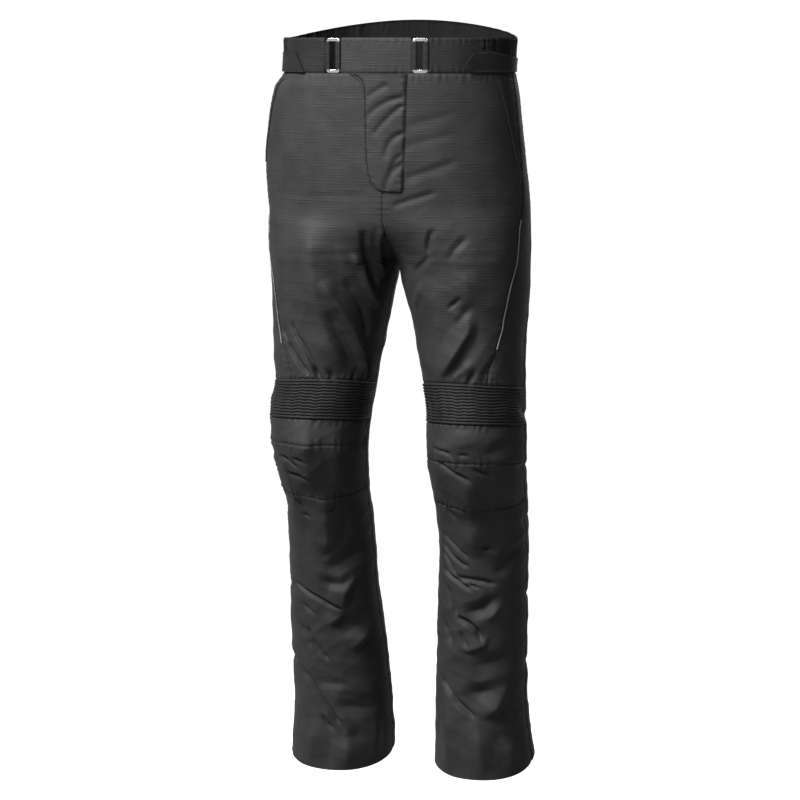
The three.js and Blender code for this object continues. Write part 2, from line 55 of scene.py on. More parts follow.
# Camera, worked out from the photograph's perspective
CAMERA_AZIMUTH = 12.5
CAMERA_AWAY = 3200
CAMERA_HEIGHT = 30
CAMERA_DOWN = 9.2
CAMERA_LENS = 102.15


def make_camera():
    data = bpy.data.cameras.new("camera")
    data.lens = CAMERA_LENS
    data.sensor_width = 36
    data.clip_end = 200
    camera = bpy.data.objects.new("camera", data)
    bpy.context.collection.objects.link(camera)
    turn = math.radians(CAMERA_AZIMUTH)
    camera.location = (
        CAMERA_AWAY * MM * math.sin(turn),
        -CAMERA_AWAY * MM * math.cos(turn),
        CAMERA_HEIGHT * MM,
    )
    camera.rotation_euler = (math.radians(90 - CAMERA_DOWN), 0, turn)
    bpy.context.scene.camera = camera


make_camera()

# Driving sizes, the same as those of the solids
CLOTH = 2
TRIM = 1.5
SEAM_GAP = 0.3
FULLNESS = 0.035
WAIST_TOP = 23
WAIST_SEAM = -25
BACK_RISE = 25
STRETCH_TOP = -463
STRETCH_BOTTOM = -514
KNEE_SEAM = {"right": -549, "left": -566}
SHIN_SEAM = {"right": -617, "left": -626}
HEM = -1036
CROTCH = -285
RIBS = 13
RIB_HEIGHT = 2.2
SIDES = {"right": -1, "left": 1}
EVERY_EDGE = ("left", "right", "top", "bottom")
RIPPLE = 0.16
FACING_REACH = 14
FACING_BELOW = 70
NARROWEST_FLAT = 10
LEAST_FLAT_SHARE = 0.31
HEM_STITCHES = HEM + 20
STITCHES_TOP = -29
STITCH_BESIDE = 3
SEAT_STITCHES_END = -270
FLY_STITCHES_BELOW = (-192, -276)
FLOOR_DROP = 700


def table(columns, rows):
    return [dict(zip(columns, row)) for row in rows]


HIPS = table(
    ["level", "rightOuter", "leftOuter", "front", "back", "centre", "cleft"],
    [
        [70, 163.5, 165, 107, 116, 0, 0],
        [20, 163.5, 164, 107, 116, 0, 0],
        [-25, 164.5, 162.5, 107, 116, 0, 0],
        [-45, 178, 166, 108, 118, 0, 0],
        [-90, 187, 171, 109, 126, 0, 0],
        [-150, 191, 177, 110, 136, 0, 0],
        [-200, 189, 183, 109, 139, 0, 0.02],
        [-220, 187, 184, 108, 138, 0, 0.15],
        [-233, 187, 184, 108, 136, 0, 0.32],
        [-245, 186, 184, 107, 134, 0, 0.51],
        [-255, 186, 184, 106, 132, 0, 0.675],
        [-264, 185, 184, 106, 129, 0, 0.81],
        [-272, 185, 184, 105, 126, 0, 0.905],
        [-279, 184, 184, 105, 123, 0, 0.966],
    ],
)
LEGS = table(
    ["level", "rightOuter", "rightInner", "leftOuter", "leftInner", "front", "back", "centre", "tilt"],
    [
        [CROTCH, 184, 0.3, 184, 0.3, 104, 121, 0, 0],
        [-320, 182, 9, 184, 8, 101, 112, 0, 1],
        [-370, 181, 19, 181, 21, 96, 102, 1, 3],
        [-430, 179, 31, 179, 33, 90, 92, -4, 6],
        [-463, 176, 36, 179, 39, 87, 87, -6, 7],
        [-500, 183, 41, 182, 45, 86, 83, -11, 7],
        [-545, 182, 46, 184, 45, 86, 79, -13, 6],
        [-590, 178, 50, 182, 46, 82, 76, 2, 1],
        [-640, 172, 54, 179, 49, 74, 76, 30, -6],
        [-700, 175, 52, 178, 50, 70, 78, 48, -9],
        [-780, 176, 49, 176, 47, 70, 78, 60, -9],
        [-860, 178, 40, 174, 43, 72, 77, 73, -9],
        [-940, 177, 34, 173, 39, 75, 77, 82, -9],
        [-1000, 181, 32, 178, 37, 79, 80, 89, -9],
        [-1045, 185, 31, 184, 35, 84, 84, 93, -9],
    ],
)
SIDE_SEAMS = table(
    ["level", "insertEdge", "rightSeam", "leftSeam"],
    [
        [-25, -8, 7, 7],
        [-150, -10, 8, 8],
        [-210, -15, 8, 8],
        [-235, -20, 8, 8],
        [-280, -27, 7, 7],
        [-318, -37, 7, 7],
        [-350, -42, 6, 6],
        [-380, -46, 2, 3],
        [-405, -51, 0, 1],
        [-463, -62, -8, -1],
        [-628, -62, -24, -6],
        [-1030, -62, -24, -6],
    ],
)
# Folds, as lines of (level, angle) drawn from left to right or from the top down as seen from
# outside. The flanks are the widths of the slopes left and right of that way, so the left one is
# above a line that runs to the right. A fold with a height below 0 is a trough
FOLD_COLUMNS = ["leftFlank", "rightFlank", "height", "line"]
RIGHT_FOLDS = [
    # Thigh
    [6, 8, -0.5, [(-190, -84), (-193, -60), (-190, -30)]],
    [30, 34, 4.4, [(-225, -66), (-286, -86), (-337, -90), (-400, -106), (-444, -126)]],
    [10, 9, 6, [(-268, -114), (-292, -128), (-316, -135), (-354, -151)]],
    [9, 9, 6, [(-232, -108), (-266, -134), (-306, -153)]],
    [7, 8, -4.5, [(-236, -99), (-254, -114), (-272, -127), (-318, -149)]],
    [13, 12, 5.5, [(-308, -94), (-355, -116), (-388, -129), (-427, -145), (-456, -152)]],
    [12, 12, -4.5, [(-306, -113), (-326, -122), (-350, -134), (-395, -148)]],
    [14, 14, -4, [(-352, -102), (-387, -112), (-415, -124), (-440, -134)]],
    [10, 8, -3.5, [(-400, -140), (-430, -152), (-458, -160)]],
    [5, 5, -3, [(-374, -64), (-395, -71), (-410, -80), (-425, -87), (-457, -98)]],
    [5, 5, -3.2, [(-405, -61), (-422, -68), (-435, -76), (-453, -87)]],
    [5, 5, -3, [(-440, -92), (-462, -102)]],
    [6, 6, -3, [(-446, -109), (-458, -114)]],
    [4, 4, -1.8, [(-385, -52), (-402, -60)]],
    [6, 6, -2.2, [(-448, -136), (-461, -138)]],
    # Knee
    [24, 28, 4, [(-517, -93), (-560, -90), (-612, -93)]],
    [22, 22, 2, [(-525, -121), (-605, -121)]],
    [4, 5, -3, [(-566, -51), (-569, -63), (-578, -80)]],
    [4, 4, -2.4, [(-566, -72), (-567, -80), (-570, -91)]],
    [4, 5, -2.8, [(-588, -60), (-588, -78), (-592, -94)]],
    # Shin
    [24, 30, 4.4, [(-600, -104), (-640, -104), (-720, -98)]],
    [4, 4, -2.2, [(-622, -60), (-634, -72)]],
    [4, 4, -2.2, [(-634, -110), (-628, -119)]],
    [4, 4, -2.2, [(-645, -70), (-647, -83)]],
    [16, 8, -3, [(-712, -90), (-700, -102), (-690, -116)]],
    [30, 14, -7, [(-728, -93), (-723, -108), (-714, -132), (-706, -158)]],
    [12, 10, -4.5, [(-741, -86), (-750, -103), (-750, -118), (-741, -133)]],
    [14, 22, 4.5, [(-742, -138), (-752, -124), (-765, -117), (-785, -114), (-797, -115)]],
    [4, 5, -3.4, [(-754, -46), (-760, -60), (-767, -75), (-774, -88), (-790, -114)]],
    [4, 5, -2.6, [(-783, -60), (-791, -69), (-799, -77)]],
    [28, 18, -7.5, [(-814, -97), (-815, -112), (-818, -130), (-821, -152)]],
    [8, 16, 3, [(-797, -115), (-806, -104), (-813, -95)]],
    [12, 20, 4, [(-828, -147), (-840, -132), (-852, -117)]],
    [4, 4, -2.8, [(-818, -55), (-835, -63), (-852, -69)]],
    [4, 5, -3.4, [(-820, -65), (-843, -75), (-858, -84), (-868, -91)]],
    [34, 10, -4, [(-903, -70), (-904, -95), (-902, -118)]],
    [24, 16, -6, [(-938, -92), (-940, -115), (-946, -136), (-944, -152)]],
    [5, 6, -4, [(-888, -57), (-909, -69), (-923, -76), (-937, -84), (-966, -101)]],
    [5, 6, -3, [(-952, -77), (-966, -84), (-975, -93)]],
    [14, 8, 3, [(-940, -92), (-955, -101), (-972, -109), (-990, -106)]],
    [26, 26, 3.5, [(-960, -67), (-1036, -68)]],
    [28, 26, 4, [(-985, -108), (-1036, -108)]],
    [20, 28, 3, [(-960, -140), (-1036, -140)]],
    # Side and back
    [9, 12, -3.4, [(-500, 48), (-506, 14), (-500, -22)]],
    [8, 10, -3, [(-560, 30), (-566, -4), (-560, -34)]],
    [10, 9, -3, [(-640, 34), (-652, 2), (-648, -28)]],
    [12, 10, -3.6, [(-762, 30), (-770, -2), (-762, -30)]],
    [12, 10, -3.4, [(-872, 18), (-884, -14), (-880, -42)]],
    [14, 16, -4.5, [(-262, 150), (-250, 122), (-232, 96)]],
    [8, 9, -2.8, [(-238, 152), (-222, 130), (-208, 108)]],
    [18, 12, -3.5, [(-340, 114), (-322, 88), (-300, 60)]],
    [12, 12, -3.6, [(-384, 150), (-372, 118), (-366, 84)]],
    [14, 12, -4.2, [(-462, 132), (-455, 100), (-440, 70)]],
    [8, 8, -3, [(-482, 142), (-478, 114), (-470, 88)]],
    [16, 16, -6.5, [(-512, 130), (-508, 88), (-500, 48)]],
    [8, 8, -3, [(-524, 114), (-527, 90), (-522, 58)]],
    [12, 14, -5, [(-538, 152), (-543, 108), (-546, 64)]],
    [7, 7, -3, [(-560, 146), (-564, 112), (-566, 82)]],
    [14, 12, -5, [(-602, 120), (-598, 80), (-588, 42)]],
    [8, 8, -2.8, [(-652, 118), (-648, 88), (-640, 58)]],
    [18, 12, -4.5, [(-702, 130), (-686, 100), (-664, 70)]],
    [8, 8, -3, [(-752, 142), (-744, 112), (-740, 84)]],
    [22, 14, -5.5, [(-808, 106), (-792, 70), (-770, 38)]],
    [18, 14, -5, [(-836, 148), (-850, 112), (-860, 78)]],
    [6, 6, -3, [(-850, 86), (-838, 58), (-826, 30)]],
    [6, 6, -3, [(-886, 150), (-894, 122), (-900, 96)]],
    [20, 14, -5.5, [(-964, 98), (-950, 64), (-930, 34)]],
    [26, 24, 3, [(-960, 72), (-1036, 74)]],
    [24, 26, 3, [(-950, 117), (-1036, 119)]],
]
LEFT_FOLDS = [
    # Thigh
    [6, 7, -1.8, [(-204, -88), (-196, -80), (-184, -67)]],
    [6, 7, -3, [(-271, -105), (-258, -98), (-248, -91), (-240, -85), (-236, -79)]],
    [6, 8, -2.4, [(-298, -124), (-288, -119), (-278, -110), (-270, -102)]],
    [8, 8, -2.6, [(-274, -88), (-262, -80), (-251, -70), (-244, -64)]],
    [5, 5, -2.6, [(-347, -97), (-339, -90), (-330, -83)]],
    [8, 8, -2.8, [(-374, -92), (-366, -88), (-351, -80), (-341, -76)]],
    [12, 24, 4, [(-352, -76), (-385, -80), (-402, -88), (-420, -97), (-458, -118)]],
    [8, 22, -4, [(-458, -116), (-438, -99), (-424, -91), (-400, -81), (-372, -70)]],
    [8, 8, 2.5, [(-456, -104), (-447, -96), (-437, -85), (-425, -75)]],
    [6, 6, -3.2, [(-461, -85), (-449, -80), (-438, -75)]],
    [8, 12, -2.6, [(-461, -68), (-443, -64), (-428, -57), (-408, -47)]],
    [10, 8, 3, [(-310, -119), (-328, -126), (-350, -135)]],
    [24, 24, 2, [(-300, -107), (-400, -107)]],
    [26, 26, 2, [(-290, -78), (-345, -76)]],
    [9, 10, -0.9, [(-98, -82), (-88, -70), (-78, -56)]],
    [8, 9, -0.9, [(-124, -82), (-114, -70), (-106, -57)]],
    [8, 10, -1.6, [(-168, -82), (-156, -70), (-142, -56)]],
    # Knee
    [26, 26, 2, [(-520, -91), (-548, -91)]],
    [26, 28, 3.4, [(-572, -90), (-650, -90)]],
    [4, 4, -2.6, [(-549, -135), (-551, -120), (-553, -111), (-559, -106)]],
    [4, 4, -2, [(-555, -101), (-555, -86)]],
    [14, 18, -5, [(-556, -77), (-551, -62), (-546, -51), (-541, -34)]],
    [4, 5, -3.2, [(-566, -128), (-571, -117), (-577, -107), (-583, -92), (-588, -86)]],
    [4, 5, -2.6, [(-570, -84), (-575, -77), (-578, -69), (-581, -62)]],
    # Shin
    [28, 26, 3, [(-640, -91), (-700, -90)]],
    [4, 5, -3, [(-619, -131), (-630, -122), (-642, -113)]],
    [4, 4, -2.4, [(-622, -138), (-634, -128)]],
    [5, 5, -2.5, [(-683, -80), (-684, -70)]],
    [4, 5, -3, [(-668, -136), (-683, -115), (-698, -99)]],
    [4, 5, -3.4, [(-684, -140), (-699, -122), (-710, -105), (-712, -98)]],
    [4, 5, -3.4, [(-697, -141), (-714, -126), (-729, -116)]],
    [4, 5, -3.2, [(-724, -139), (-735, -118), (-748, -94)]],
    [6, 6, -3.2, [(-731, -117), (-732, -92), (-734, -77), (-738, -62)]],
    [4, 4, -2.4, [(-739, -100), (-744, -84)]],
    [26, 12, -5.5, [(-724, -72), (-718, -56), (-702, -40), (-686, -30)]],
    [16, 14, -8, [(-784, -105), (-777, -80), (-768, -71), (-753, -61)]],
    [10, 10, 3.5, [(-768, -59), (-783, -66), (-793, -76)]],
    [6, 6, -4.5, [(-748, -131), (-767, -122), (-780, -118), (-791, -115)]],
    [6, 6, -5, [(-791, -115), (-799, -98), (-808, -87), (-824, -79)]],
    [6, 6, -3, [(-805, -134), (-820, -127), (-835, -121)]],
    [5, 5, -2.8, [(-812, -109), (-824, -104), (-835, -98)]],
    [20, 7, 3.5, [(-838, -112), (-838, -95), (-830, -78), (-815, -73)]],
    [18, 24, -7, [(-864, -93), (-862, -80), (-858, -60), (-850, -38)]],
    [18, 26, -7.5, [(-912, -108), (-906, -87), (-903, -70), (-896, -50)]],
    [12, 26, 4, [(-897, -47), (-912, -54), (-926, -61), (-945, -78)]],
    [6, 7, -5, [(-893, -138), (-910, -119), (-921, -111), (-939, -90), (-944, -86)]],
    [26, 28, 4, [(-946, -84), (-1036, -80)]],
    [28, 20, 3.5, [(-925, -122), (-1036, -121)]],
    [20, 24, 3, [(-975, -47), (-1036, -46)]],
    # Side and back
    [9, 12, -3.4, [(-492, -20), (-502, 12), (-496, 44)]],
    [8, 10, -3, [(-572, -26), (-578, 4), (-570, 32)]],
    [10, 9, -3, [(-658, -22), (-664, 8), (-652, 36)]],
    [12, 10, -3.6, [(-776, -16), (-786, 12), (-780, 40)]],
    [12, 10, -3.4, [(-880, -12), (-892, 14), (-884, 42)]],
    [14, 16, -4.5, [(-240, 100), (-256, 126), (-270, 152)]],
    [8, 9, -2.8, [(-214, 112), (-226, 132), (-244, 154)]],
    [18, 12, -3.5, [(-318, 52), (-340, 80), (-354, 104)]],
    [12, 12, -3.4, [(-376, 78), (-388, 112), (-398, 146)]],
    [14, 12, -4.2, [(-434, 76), (-446, 108), (-452, 140)]],
    [8, 8, -3, [(-460, 62), (-468, 92), (-470, 120)]],
    [16, 16, -6.5, [(-486, 52), (-496, 88), (-502, 122)]],
    [8, 8, -3, [(-512, 82), (-518, 116), (-520, 150)]],
    [12, 14, -5.2, [(-534, 60), (-530, 102), (-528, 146)]],
    [7, 7, -3, [(-560, 54), (-556, 84), (-556, 112)]],
    [14, 12, -5, [(-580, 50), (-592, 92), (-594, 130)]],
    [8, 8, -2.8, [(-630, 84), (-638, 112), (-640, 142)]],
    [18, 12, -4.5, [(-676, 44), (-694, 78), (-706, 110)]],
    [8, 8, -3, [(-722, 38), (-732, 66), (-742, 98)]],
    [20, 14, -5.2, [(-752, 82), (-770, 114), (-780, 148)]],
    [6, 6, -3, [(-806, 88), (-814, 116), (-820, 146)]],
    [20, 14, -5, [(-842, 38), (-860, 72), (-872, 106)]],
    [6, 6, -3, [(-904, 32), (-916, 62), (-922, 94)]],
    [18, 14, -5, [(-952, 68), (-940, 104), (-926, 140)]],
    [26, 24, 3, [(-955, 64), (-1036, 66)]],
    [24, 26, 3, [(-965, 112), (-1036, 114)]],
]
FOLDS = {"right": table(FOLD_COLUMNS, RIGHT_FOLDS), "left": table(FOLD_COLUMNS, LEFT_FOLDS)}


def track(rows, value):
    """Numbers that change smoothly between a table's rows, without overshoot"""
    at = np.array([row["level"] for row in rows], float)
    y = np.array([value(row) for row in rows], float)
    slope = np.diff(y) / np.diff(at)
    tangent = np.zeros(len(y))
    tangent[0] = slope[0]
    tangent[-1] = slope[-1]
    for i in range(1, len(y) - 1):
        if slope[i - 1] * slope[i] > 0:
            tangent[i] = 2 * slope[i - 1] * slope[i] / (slope[i - 1] + slope[i])

    def read(level):
        i = np.clip(np.searchsorted(-at, -np.asarray(level, float)) - 1, 0, len(at) - 2)
        width = at[i + 1] - at[i]
        t = np.clip((level - at[i]) / width, 0, 1)
        return (
            y[i] * (1 + 2 * t) * (1 - t) ** 2
            + tangent[i] * width * t * (1 - t) ** 2
            + y[i + 1] * t * t * (3 - 2 * t)
            - tangent[i + 1] * width * t * t * (1 - t)
        )

    return read


def split_of(row, side):
    if "cleft" in row:
        return row["cleft"]
    reach = row[side + "Outer"] - row[side + "Inner"]
    return (row[side + "Outer"] + row[side + "Inner"]) / reach


SECTIONS = HIPS + LEGS
front = track(SECTIONS, lambda row: row["front"])
back = track(SECTIONS, lambda row: row["back"])
centre = track(SECTIONS, lambda row: row["centre"])
tilt = track(SECTIONS, lambda row: row.get("tilt", 0))
outer = {side: track(SECTIONS, lambda row, s=side: row[s + "Outer"]) for side in SIDES}
split = {side: track(SECTIONS, lambda row, s=side: split_of(row, s)) for side in SIDES}
insert_edge = track(SIDE_SEAMS, lambda row: row["insertEdge"])
side_seam = {side: track(SIDE_SEAMS, lambda row, s=side: row[s + "Seam"]) for side in SIDES}


def half_width(side, level):
    return outer[side](level) / (1 + split[side](level))


def across(side, level, angle):
    wide = half_width(side, level)
    return split[side](level) * wide + wide * np.cos(angle) * corner(angle)


def corner(angle):
    return 1 + FULLNESS * np.sin(2 * angle) ** 2


def smooth_point(side, level, angle):
    reach = np.where(angle < 0, front(level), back(level))
    depth = reach * np.sin(angle) * corner(angle)
    lean = np.radians(tilt(level))
    x = SIDES[side] * across(side, level, angle)
    y = centre(level) + depth * np.cos(lean)
    return np.stack([x, y, level - depth * np.sin(lean)], -1)


def unit(v):
    return v / np.maximum(np.linalg.norm(v, axis=-1, keepdims=True), 1e-9)


def smooth_normal(side, level, angle):
    step = 1e-3
    about = smooth_point(side, level, angle + step) - smooth_point(side, level, angle - step)
    up = smooth_point(side, level + 1, angle) - smooth_point(side, level - 1, angle)
    return unit(np.cross(about, up) * SIDES[side])


def on_cloth(side, fold):
    """The line of a fold as places on the cloth, no more than 10 degrees apart"""
    places = []
    for (z0, a0), (z1, a1) in zip(fold["line"][:-1], fold["line"][1:]):
        parts = max(1, math.ceil(abs(a1 - a0) / 10))
        for i in range(parts):
            t = i / parts
            places.append((z0 + (z1 - z0) * t, a0 + (a1 - a0) * t))
    places.append(fold["line"][-1])
    level, angle = np.array(places, float).T
    return smooth_point(side, level, np.radians(angle))


FOLD_LINES = {side: [on_cloth(side, fold) for fold in FOLDS[side]] for side in SIDES}


def smooth_step(t):
    t = np.clip(t, 0, 1)
    return t * t * (3 - 2 * t)


def fold_height(fold, line, point, normal):
    """How far one fold moves the cloth out at places near it"""
    nearest = np.full(len(point), 1e9)
    signed = np.zeros(len(point))
    walked = np.zeros(len(point))
    before = 0
    for start, end in zip(line[:-1], line[1:]):
        run = end - start
        length = np.linalg.norm(run)
        from_start = point - start
        t = np.clip(from_start @ run / length**2, 0, 1)
        away = from_start - t[:, None] * run
        deep = np.sum(away * normal, 1)
        away = away - deep[:, None] * normal
        distance = np.where(np.abs(deep) < 18, np.linalg.norm(away, axis=1), 1e9)
        closer = distance < nearest
        nearest = np.where(closer, distance, nearest)
        signed = np.where(closer, np.sum(np.cross(normal, run) * away, 1), signed)
        walked = np.where(closer, before + t * length, walked)
        before += length
    wide = np.where(signed > 0, fold["leftFlank"], fold["rightFlank"])
    sharp = 0.09 * min(fold["leftFlank"], fold["rightFlank"])
    near = (np.sqrt(nearest**2 + sharp**2) - sharp) / wide
    broad = max(fold["leftFlank"], fold["rightFlank"])
    ends = min(6 + 1.3 * broad, 0.5 * before)
    fade = smooth_step((np.minimum(walked, before - walked) + 2) / ends) ** 0.7
    if fold["height"] < 0:
        depth = fold["height"] * np.interp(broad, [5, 8, 12, 30], [1.6, 1.25, 1.1, 1])
    else:
        depth = fold["height"] * np.interp(broad, [8, 12, 20, 30], [1.2, 1.3, 1.7, 2.3])
    return depth * np.maximum(0, 1 - near) ** 1.2 * fade


def folds_at(side, level, point, normal):
    """How far the folds move the cloth out at each place"""
    height = np.zeros(level.size)
    flat_level = level.ravel()
    flat_point = point.reshape(-1, 3)
    flat_normal = normal.reshape(-1, 3)
    for fold, line in zip(FOLDS[side], FOLD_LINES[side]):
        reach = max(fold["leftFlank"], fold["rightFlank"])
        levels = [z for z, _ in fold["line"]]
        low = min(line[:, 0]) - reach
        high = max(line[:, 0]) + reach
        near = (flat_level > min(levels) - reach) & (flat_level < max(levels) + reach)
        near &= (flat_point[:, 0] > low) & (flat_point[:, 0] < high)
        if near.any():
            height[near] += fold_height(fold, line, flat_point[near], flat_normal[near])
    return height.reshape(level.shape)


def ripple(point):
    """Slight unevenness of the whole cloth, from waves in set directions"""
    height = np.zeros(point.shape[:-1])
    for i in range(10):
        turn = 2.4 * i
        lift = 0.5 * math.sin(1.7 * i + 0.4)
        way = np.array([math.cos(turn), math.sin(turn), 1.2 * lift]) * 2 * math.pi / (46 + 11 * i)
        height += math.sin(3.1 * i + 1) * np.sin(point @ way + 1.3 * i)
    return RIPPLE * height + crumple(point)


def crumple(point):
    """Small sharp crests that come and go, most below the knee and least on the hips"""
    x, y, z = point[..., 0], point[..., 1], point[..., 2]
    bend_x = x + 9 * np.sin(z / 23 + 1.1) + 6 * np.sin(y / 17 + 0.4)
    bend_z = z + 10 * np.sin(x / 27 + 2) + 7 * np.sin(y / 21 + 1.5)
    height = np.zeros(x.shape)
    for across_by, down_by, apart, shift in (
        (0.55, 1, 44, 0.3),
        (-0.7, 1, 37, 1.9),
        (0.2, 1, 29, 4.4),
        (1, -0.35, 52, 2.6),
    ):
        way = math.pi / apart / math.hypot(across_by, down_by)
        crest = 1 - np.abs(np.sin(way * (across_by * bend_x + down_by * bend_z) + shift))
        patch = 0.5 + 0.5 * np.sin(x / 31 + shift) * np.sin(z / 47 + 2 * shift)
        height += apart / 40 * crest**1.5 * patch
    amount = np.interp(-z, [0, 220, 330, 600, 1000, 1036], [0.15, 0.3, 0.8, 1.1, 1.1, 0.6])
    return amount * height


def facing_middle(point, normal):
    """1 where one half faces the other across the middle seam, down to 0 away from there"""
    near = 1 - smooth_step(np.abs(point[..., 0]) / FACING_REACH)
    above = smooth_step((point[..., 2] - CROTCH + FACING_BELOW) / FACING_BELOW)
    return near * smooth_step(2 * np.abs(normal[..., 0])) * above


def place(side, level, angle):
    """Places on the outside of the cloth, and the way out from them"""
    level, angle = np.broadcast_arrays(np.asarray(level, float), np.asarray(angle, float))
    normal = smooth_normal(side, level, angle)
    point = smooth_point(side, level, angle)
    out = folds_at(side, level, point, normal) + ripple(point)
    out *= 1 - facing_middle(point, normal)
    return point + normal * out[..., None], normal


def angle_across(side, level, x):
    """The angle at which a section comes this close to the middle"""
    low = np.zeros_like(level)
    high = np.full_like(level, math.pi)
    beyond = across(side, level, high) >= x
    for _ in range(40):
        mid = (low + high) / 2
        far = across(side, level, mid) > x
        low = np.where(far, mid, low)
        high = np.where(far, high, mid)
    return np.where(beyond, math.pi, (low + high) / 2)


def inner_angle(side, level):
    inseam = math.pi - HALF_GAP / front(level)
    return np.minimum(inseam, angle_across(side, level, HALF_GAP))


def spread(length, step):
    """Fractions along a length, closer together at both ends, for the roll of the seams"""
    ends = np.array([0, 0.8, 1.7, 2.8, 4.2])
    count = max(2, round((length - 12) / step))
    middle = np.linspace(6, length - 6, count + 1)
    return np.concatenate([ends, middle, length - ends[::-1]]) / length


def lerp(a, b, t):
    return a + (b - a) * t


def along(point, axis):
    """Distances from the first row or column of a grid"""
    gaps = np.linalg.norm(np.diff(point, axis=axis), axis=-1)
    start = np.zeros_like(np.take(gaps, [0], axis=axis))
    return np.cumsum(np.concatenate([start, gaps], axis=axis), axis=axis)


SEAM_SINK = 1.1
PUCKER = 0.5
MIDDLE_GAP = 0.02


def seam_relief(point, edges, pucker):
    """The cloth sinks into its seams and puckers beside them. edges names the sewn ones"""
    from_left = along(point, 1)
    from_top = along(point, 0)
    distance = {
        "left": from_left,
        "right": from_left[:, -1:] - from_left,
        "top": from_top,
        "bottom": from_top[-1:] - from_top,
    }
    relief = np.zeros(point.shape[:2])
    for edge in edges:
        d = distance[edge]
        s = from_top if edge in ("left", "right") else from_left
        wave = np.sin(s * 0.62 + 1.3 * np.sin(s * 0.137)) * np.sin(s * 0.091 + 0.8)
        relief -= SEAM_SINK * np.exp(-((d / 1.8) ** 2))
        relief += pucker * wave * np.exp(-(((d - 4) / 6) ** 2))
    return relief


def mesh_object(name, verts, faces, material):
    mesh = bpy.data.meshes.new(name)
    mesh.from_pydata((np.asarray(verts) * MM).tolist(), [], faces)
    mesh.update()
    mesh.polygons.foreach_set("use_smooth", [True] * len(mesh.polygons))
    mesh.set_sharp_from_angle(angle=math.radians(52))
    mesh.materials.append(material)
    piece = bpy.data.objects.new(name, mesh)
    bpy.context.collection.objects.link(piece)
    return piece


def wall_mesh(name, outside, inside, material):
    """A closed wall between two grids of the same size"""
    tall, wide = outside.shape[:2]
    verts = np.concatenate([outside.reshape(-1, 3), inside.reshape(-1, 3)])
    index = np.arange(tall * wide).reshape(tall, wide)
    a = index[:-1, :-1].ravel()
    b = index[1:, :-1].ravel()
    c = index[1:, 1:].ravel()
    d = index[:-1, 1:].ravel()
    off = tall * wide
    faces = [np.stack([a, b, c, d], 1), np.stack([d, c, b, a], 1) + off]
    rim = np.concatenate([index[0, :-1], index[:-1, -1], index[-1, :0:-1], index[:0:-1, 0]])
    after = np.roll(rim, -1)
    faces.append(np.stack([rim, after, after + off, rim + off], 1))
    faces = np.concatenate(faces)
    tri = verts[faces[:, [0, 1, 2]]]
    other = verts[faces[:, [0, 2, 3]]]
    volume = sum((t[:, 0] * np.cross(t[:, 1], t[:, 2])).sum() for t in (tri, other))
    if volume < 0:
        faces = faces[:, ::-1]
    return mesh_object(name, verts, faces.tolist(), material)


def panel_area(point):
    a = point[1:, :-1] - point[:-1, :-1]
    b = point[:-1, 1:] - point[:-1, :-1]
    c = point[1:, 1:] - point[:-1, 1:]
    d = point[1:, 1:] - point[1:, :-1]
    return 0.5 * (np.linalg.norm(np.cross(a, b), axis=-1) + np.linalg.norm(np.cross(c, d), axis=-1)).sum()


def close_middle(outside, inside, column):
    """Brings the column at the middle seam together with that of the other half"""
    sewn = outside[:, column, 2] > CROTCH + 3
    side = np.sign(outside[:, column, 0])
    outside[sewn, column, 0] = side[sewn] * MIDDLE_GAP
    sewn &= np.abs(inside[:, column, 0]) < 1
    inside[sewn, column, 0] = side[sewn] * MIDDLE_GAP


def cloth_piece(node, material, slot, at, columns, rows, **options):
    """One cut piece of cloth that stands for a solid of the same name"""
    thickness = options.get("thickness", CLOTH)
    lift = options.get("lift", 0)
    grid_u, grid_v = np.meshgrid(columns, rows)
    point, normal = at(grid_u, grid_v)
    relief = seam_relief(point, options.get("edges", ()), options.get("pucker", PUCKER))
    relief = relief * (1 - facing_middle(point, normal))
    if "relief" in options:
        relief = relief + options["relief"](grid_u, grid_v)
    if lift:
        relief = np.maximum(relief, 0.2 - thickness)
    outside = point + normal * (lift + relief)[..., None]
    inside = point + normal * (lift - thickness + (0 if lift else relief[..., None]))
    if "middle" in options:
        close_middle(outside, inside, options["middle"])
    piece = wall_mesh(node + "_cloth", outside, inside, material)
    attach(piece, "root")
    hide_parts(node)
    width = along(point, 1)[:, -1].max() * MM
    length = along(point, 0)[-1].max() * MM
    area = panel_area(point) * MM * MM
    width = max(width, NARROWEST_FLAT * MM)
    area = max(min(area, width * length), LEAST_FLAT_SHARE * width * length)
    return piece


# Materials
def new_material(name):
    material = bpy.data.materials.new(name)
    material.use_nodes = True
    nodes = material.node_tree.nodes
    return material, nodes, material.node_tree.links, nodes["Principled BSDF"]


def set_inputs(node, inputs):
    for name, value in inputs.items():
        node.inputs[name].default_value = value


def new_node(nodes, kind, inputs=None):
    node = nodes.new("ShaderNode" + kind)
    set_inputs(node, inputs or {})
    return node


def two_shades(nodes, low, high):
    """A ramp between two shades, each given as its position and its colour"""
    ramp = nodes.new("ShaderNodeValToRGB")
    for i, (position, colour) in enumerate((low, high)):
        ramp.color_ramp.elements[i].position = position
        ramp.color_ramp.elements[i].color = (*colour, 1)
    return ramp


